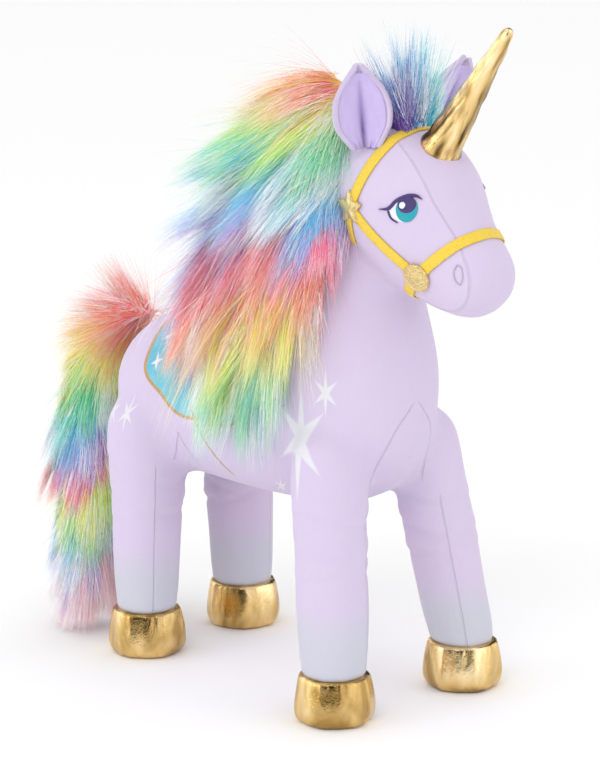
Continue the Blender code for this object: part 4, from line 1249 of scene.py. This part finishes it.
def make_mane():
    material = make_fur("rainbow_pile_mane", MANE_BANDS)
    core = mane_core()
    pieces = [underfur("mane_underfur", core, material, mane_band)]
    for k, clumps in enumerate((90, 120, 160)):
        rng = np.random.default_rng(100 + k)
        roots, out = sample(core, STRANDS, rng, mane_weight)
        length = 0.050 + 0.016 * smoothstep(0.32, 0.22, roots[:, 2]) + 0.004 * k
        length = length * (1 - 0.45 * smoothstep(-0.060, -0.082, roots[:, 1]))
        pieces.append(grow(f"mane_strands_{k + 1}", material, roots, out, mane_way(roots, out), length,
                           mane_band(roots), rng, clumps, keep_in=inside_width))
    for piece in pieces:
        blend_at_neck(piece)
    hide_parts("mane_fur", "mane_backing")


def tail_core():
    rings = []
    for (x, y, z), rx, ry in TAIL_SECTIONS:
        rings.append([Vector((x + 0.62 * rx * math.cos(t), y + 0.60 * ry * math.sin(t), z)) for t in turns(24)])
    return fur_core("tail_core", rings, 0.004)


def tail_band(p):
    return np.clip((0.243 - p[:, 2]) / 0.205 + 0.010 * np.sin(p[:, 0] * 190 + p[:, 1] * 90), 0, 1)


def tail_way(p, n):
    """The pile stands up and back at the root, then falls."""
    high = smoothstep(0.165, 0.212, p[:, 2])
    run = np.stack([-0.10 - 0.20 * high, 0.05 + 0.62 * high, -1.0 + 1.35 * high], 1)
    return lie_on(run, n) + n * (0.30 + 0.25 * high)[:, None]


def above_floor(line):
    back = CAD_BOX[1][1] - 0.012
    line[:, :, 2] = np.maximum(line[:, :, 2], 0.0015 + 0.05 * np.maximum(0, 0.004 - line[:, :, 2]))
    line[:, :, 1] = np.where(line[:, :, 1] > back, back + (line[:, :, 1] - back) * 0.25, line[:, :, 1])
    return line


def make_tail():
    material = make_fur("rainbow_pile_tail", TAIL_BANDS)
    core = tail_core()
    pieces = [underfur("tail_underfur", core, material, tail_band)]
    for k, clumps in enumerate((80, 120)):
        rng = np.random.default_rng(200 + k)
        roots, out = sample(core, STRANDS, rng, lambda c, n: 0.4 + 0.6 * smoothstep(0.6, -0.4, n[:, 0]))
        high = smoothstep(0.15, 0.21, roots[:, 2])
        length = 0.038 + 0.008 * (1 - high)
        length = np.minimum(length, np.maximum(0.012, roots[:, 2] - 0.006) / 0.9 + 0.030 * high)
        pieces.append(grow(f"tail_strands_{k + 1}", material, roots, out, tail_way(roots, out), length,
                           tail_band(roots), rng, clumps, keep_in=above_floor))
    for piece in pieces:
        declare(piece, "rainbow_fur", body="tail")
    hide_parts("tail_fur", "tail_backing", "tail_dock")


def make_forelock(tree):
    """A tuft that stands up between the ears."""
    material = make_fur("rainbow_pile_forelock", FORELOCK_BANDS, 0.88)
    rng = np.random.default_rng(300)
    spot = rng.normal(0, 1, (9000, 2)) * np.array([0.0062, 0.0040])
    spot = spot[(np.abs(spot[:, 0]) < FORELOCK_HALF[0]) & (np.abs(spot[:, 1]) < FORELOCK_HALF[1])]
    hits = [tree.ray_cast(Vector((dx, dy - FORELOCK_BACK, 0.45)), Vector((0, 0, -1))) for dx, dy in spot]
    roots = np.array([hit[0] for hit in hits])
    roots[:, 2] -= 0.001
    x, y = roots[:, 0], roots[:, 1] + FORELOCK_BACK
    way = np.stack([x * 24, y * 26 + 0.10, np.full(len(x), 1.0)], 1)
    length = np.where(rng.random(len(x)) < 0.10, 0.054, 0.031)
    length = length * (1 - 0.22 * (np.abs(x) / FORELOCK_HALF[0]) ** 2)
    band = np.clip(0.60 + x * 34 + y * 8 + rng.normal(0, 0.04, len(x)), 0, 1)
    facing = unit(np.stack([x * 40 - 0.3, np.full(len(x), -0.6), np.full(len(x), 0.4)], 1))
    fur = grow("forelock_strands", material, roots, facing, way, length, band, rng, 40, sag=-0.05, spread=0.16,
               pull=0.60)
    declare(fur, "rainbow_fur", "forelock_fur", body="head")


# ---- studio -------------------------------------------------------------------------------------
def make_floor():
    m = Finish("pale_floor", Roughness=0.75, Specular_IOR_Level=0.1)
    m.colour((1.0, 1.0, 1.0, 1))
    corners = [(-14, -14, 0), (14, -14, 0), (14, 14, 0), (-14, 14, 0)]
    link("studio_floor", mesh_of("floor", corners, [(0, 1, 2, 3)]), m.material)


def aim(name, data, at, target):
    """A light or camera at one place, pointed at another."""
    obj = bpy.data.objects.new(name, data)
    bpy.context.scene.collection.objects.link(obj)
    obj.location = at
    obj.rotation_euler = (Vector(target) - Vector(at)).to_track_quat("-Z", "Y").to_euler()
    return obj


def area_light(name, at, size, power):
    data = bpy.data.lights.new(name, "AREA")
    data.shape = "RECTANGLE"
    data.size, data.size_y = size
    data.energy = power
    aim(name, data, at, (0, 0, 0.2))


def make_world():
    """An even white room. Reflections also see the dark gaps between its soft boxes."""
    world = bpy.data.worlds.new("studio")
    bpy.context.scene.world = world
    world.use_nodes = True
    m = Nodes(world.node_tree, "Generated")
    bearing = m.sum("ARCTAN2", m.x, m.y)
    waves = m.sum("SINE", m.line(bearing, 2.0, m.line(m.noise(2.2, 1.0), 3.0, 1.0)))
    gaps = m.ramp(waves, -0.85, 0.0, 0.0, 1.35, shape="LINEAR")
    glossy = m.add("ShaderNodeLightPath", out="Is Glossy Ray")
    back = world.node_tree.nodes["Background"].inputs
    m.put((1, 1, 1, 1), back["Color"])
    m.put(m.add("ShaderNodeMix", {"Factor": glossy, "A": 0.97, "B": gaps}), back["Strength"])


def make_studio():
    make_floor()
    make_world()
    area_light("key", (-1.5, -0.9, 1.9), (1.0, 1.0), 7)
    area_light("fill", (0.6, -1.9, 1.0), (0.8, 1.2), 2)
    area_light("side", (-1.9, 0.5, 0.8), (0.9, 1.2), 5.4)
    bpy.context.scene.view_settings.view_transform = "Standard"
    data = bpy.data.cameras.new("camera")
    data.lens, data.sensor_width = 161.4, 36.0
    bpy.context.scene.camera = aim("camera", data, (-1.3948, -1.4908, 0.6524), (-0.0584, -0.0734, 0.2))


# ---- assembly -----------------------------------------------------------------------------------
make_studio()
skin_mesh, skin_tree = make_skin(make_body_velour(), make_head_velour())
make_hooves(make_foil("gold_foil_hoof", (1.0, 1.0, 0.5)))
make_horn(make_foil("gold_foil_horn", (1.4, 1.4, 0.22), -0.64, (0.10, 0.05, 0.012), 62))
make_ears(make_ear_velour("lilac_velour_ear", (0.690, 0.610, 0.760, 1), (0.65, 0.57, 0.74, 1)),
          make_ear_velour("deep_lilac_velour", (0.62, 0.53, 0.82, 1), (0.57, 0.47, 0.77, 1)))
make_halter(skin_mesh, make_ribbon())
make_badges(skin_tree, make_glitter())
make_face(skin_tree)
make_mane()
make_tail()
make_forelock(skin_tree)
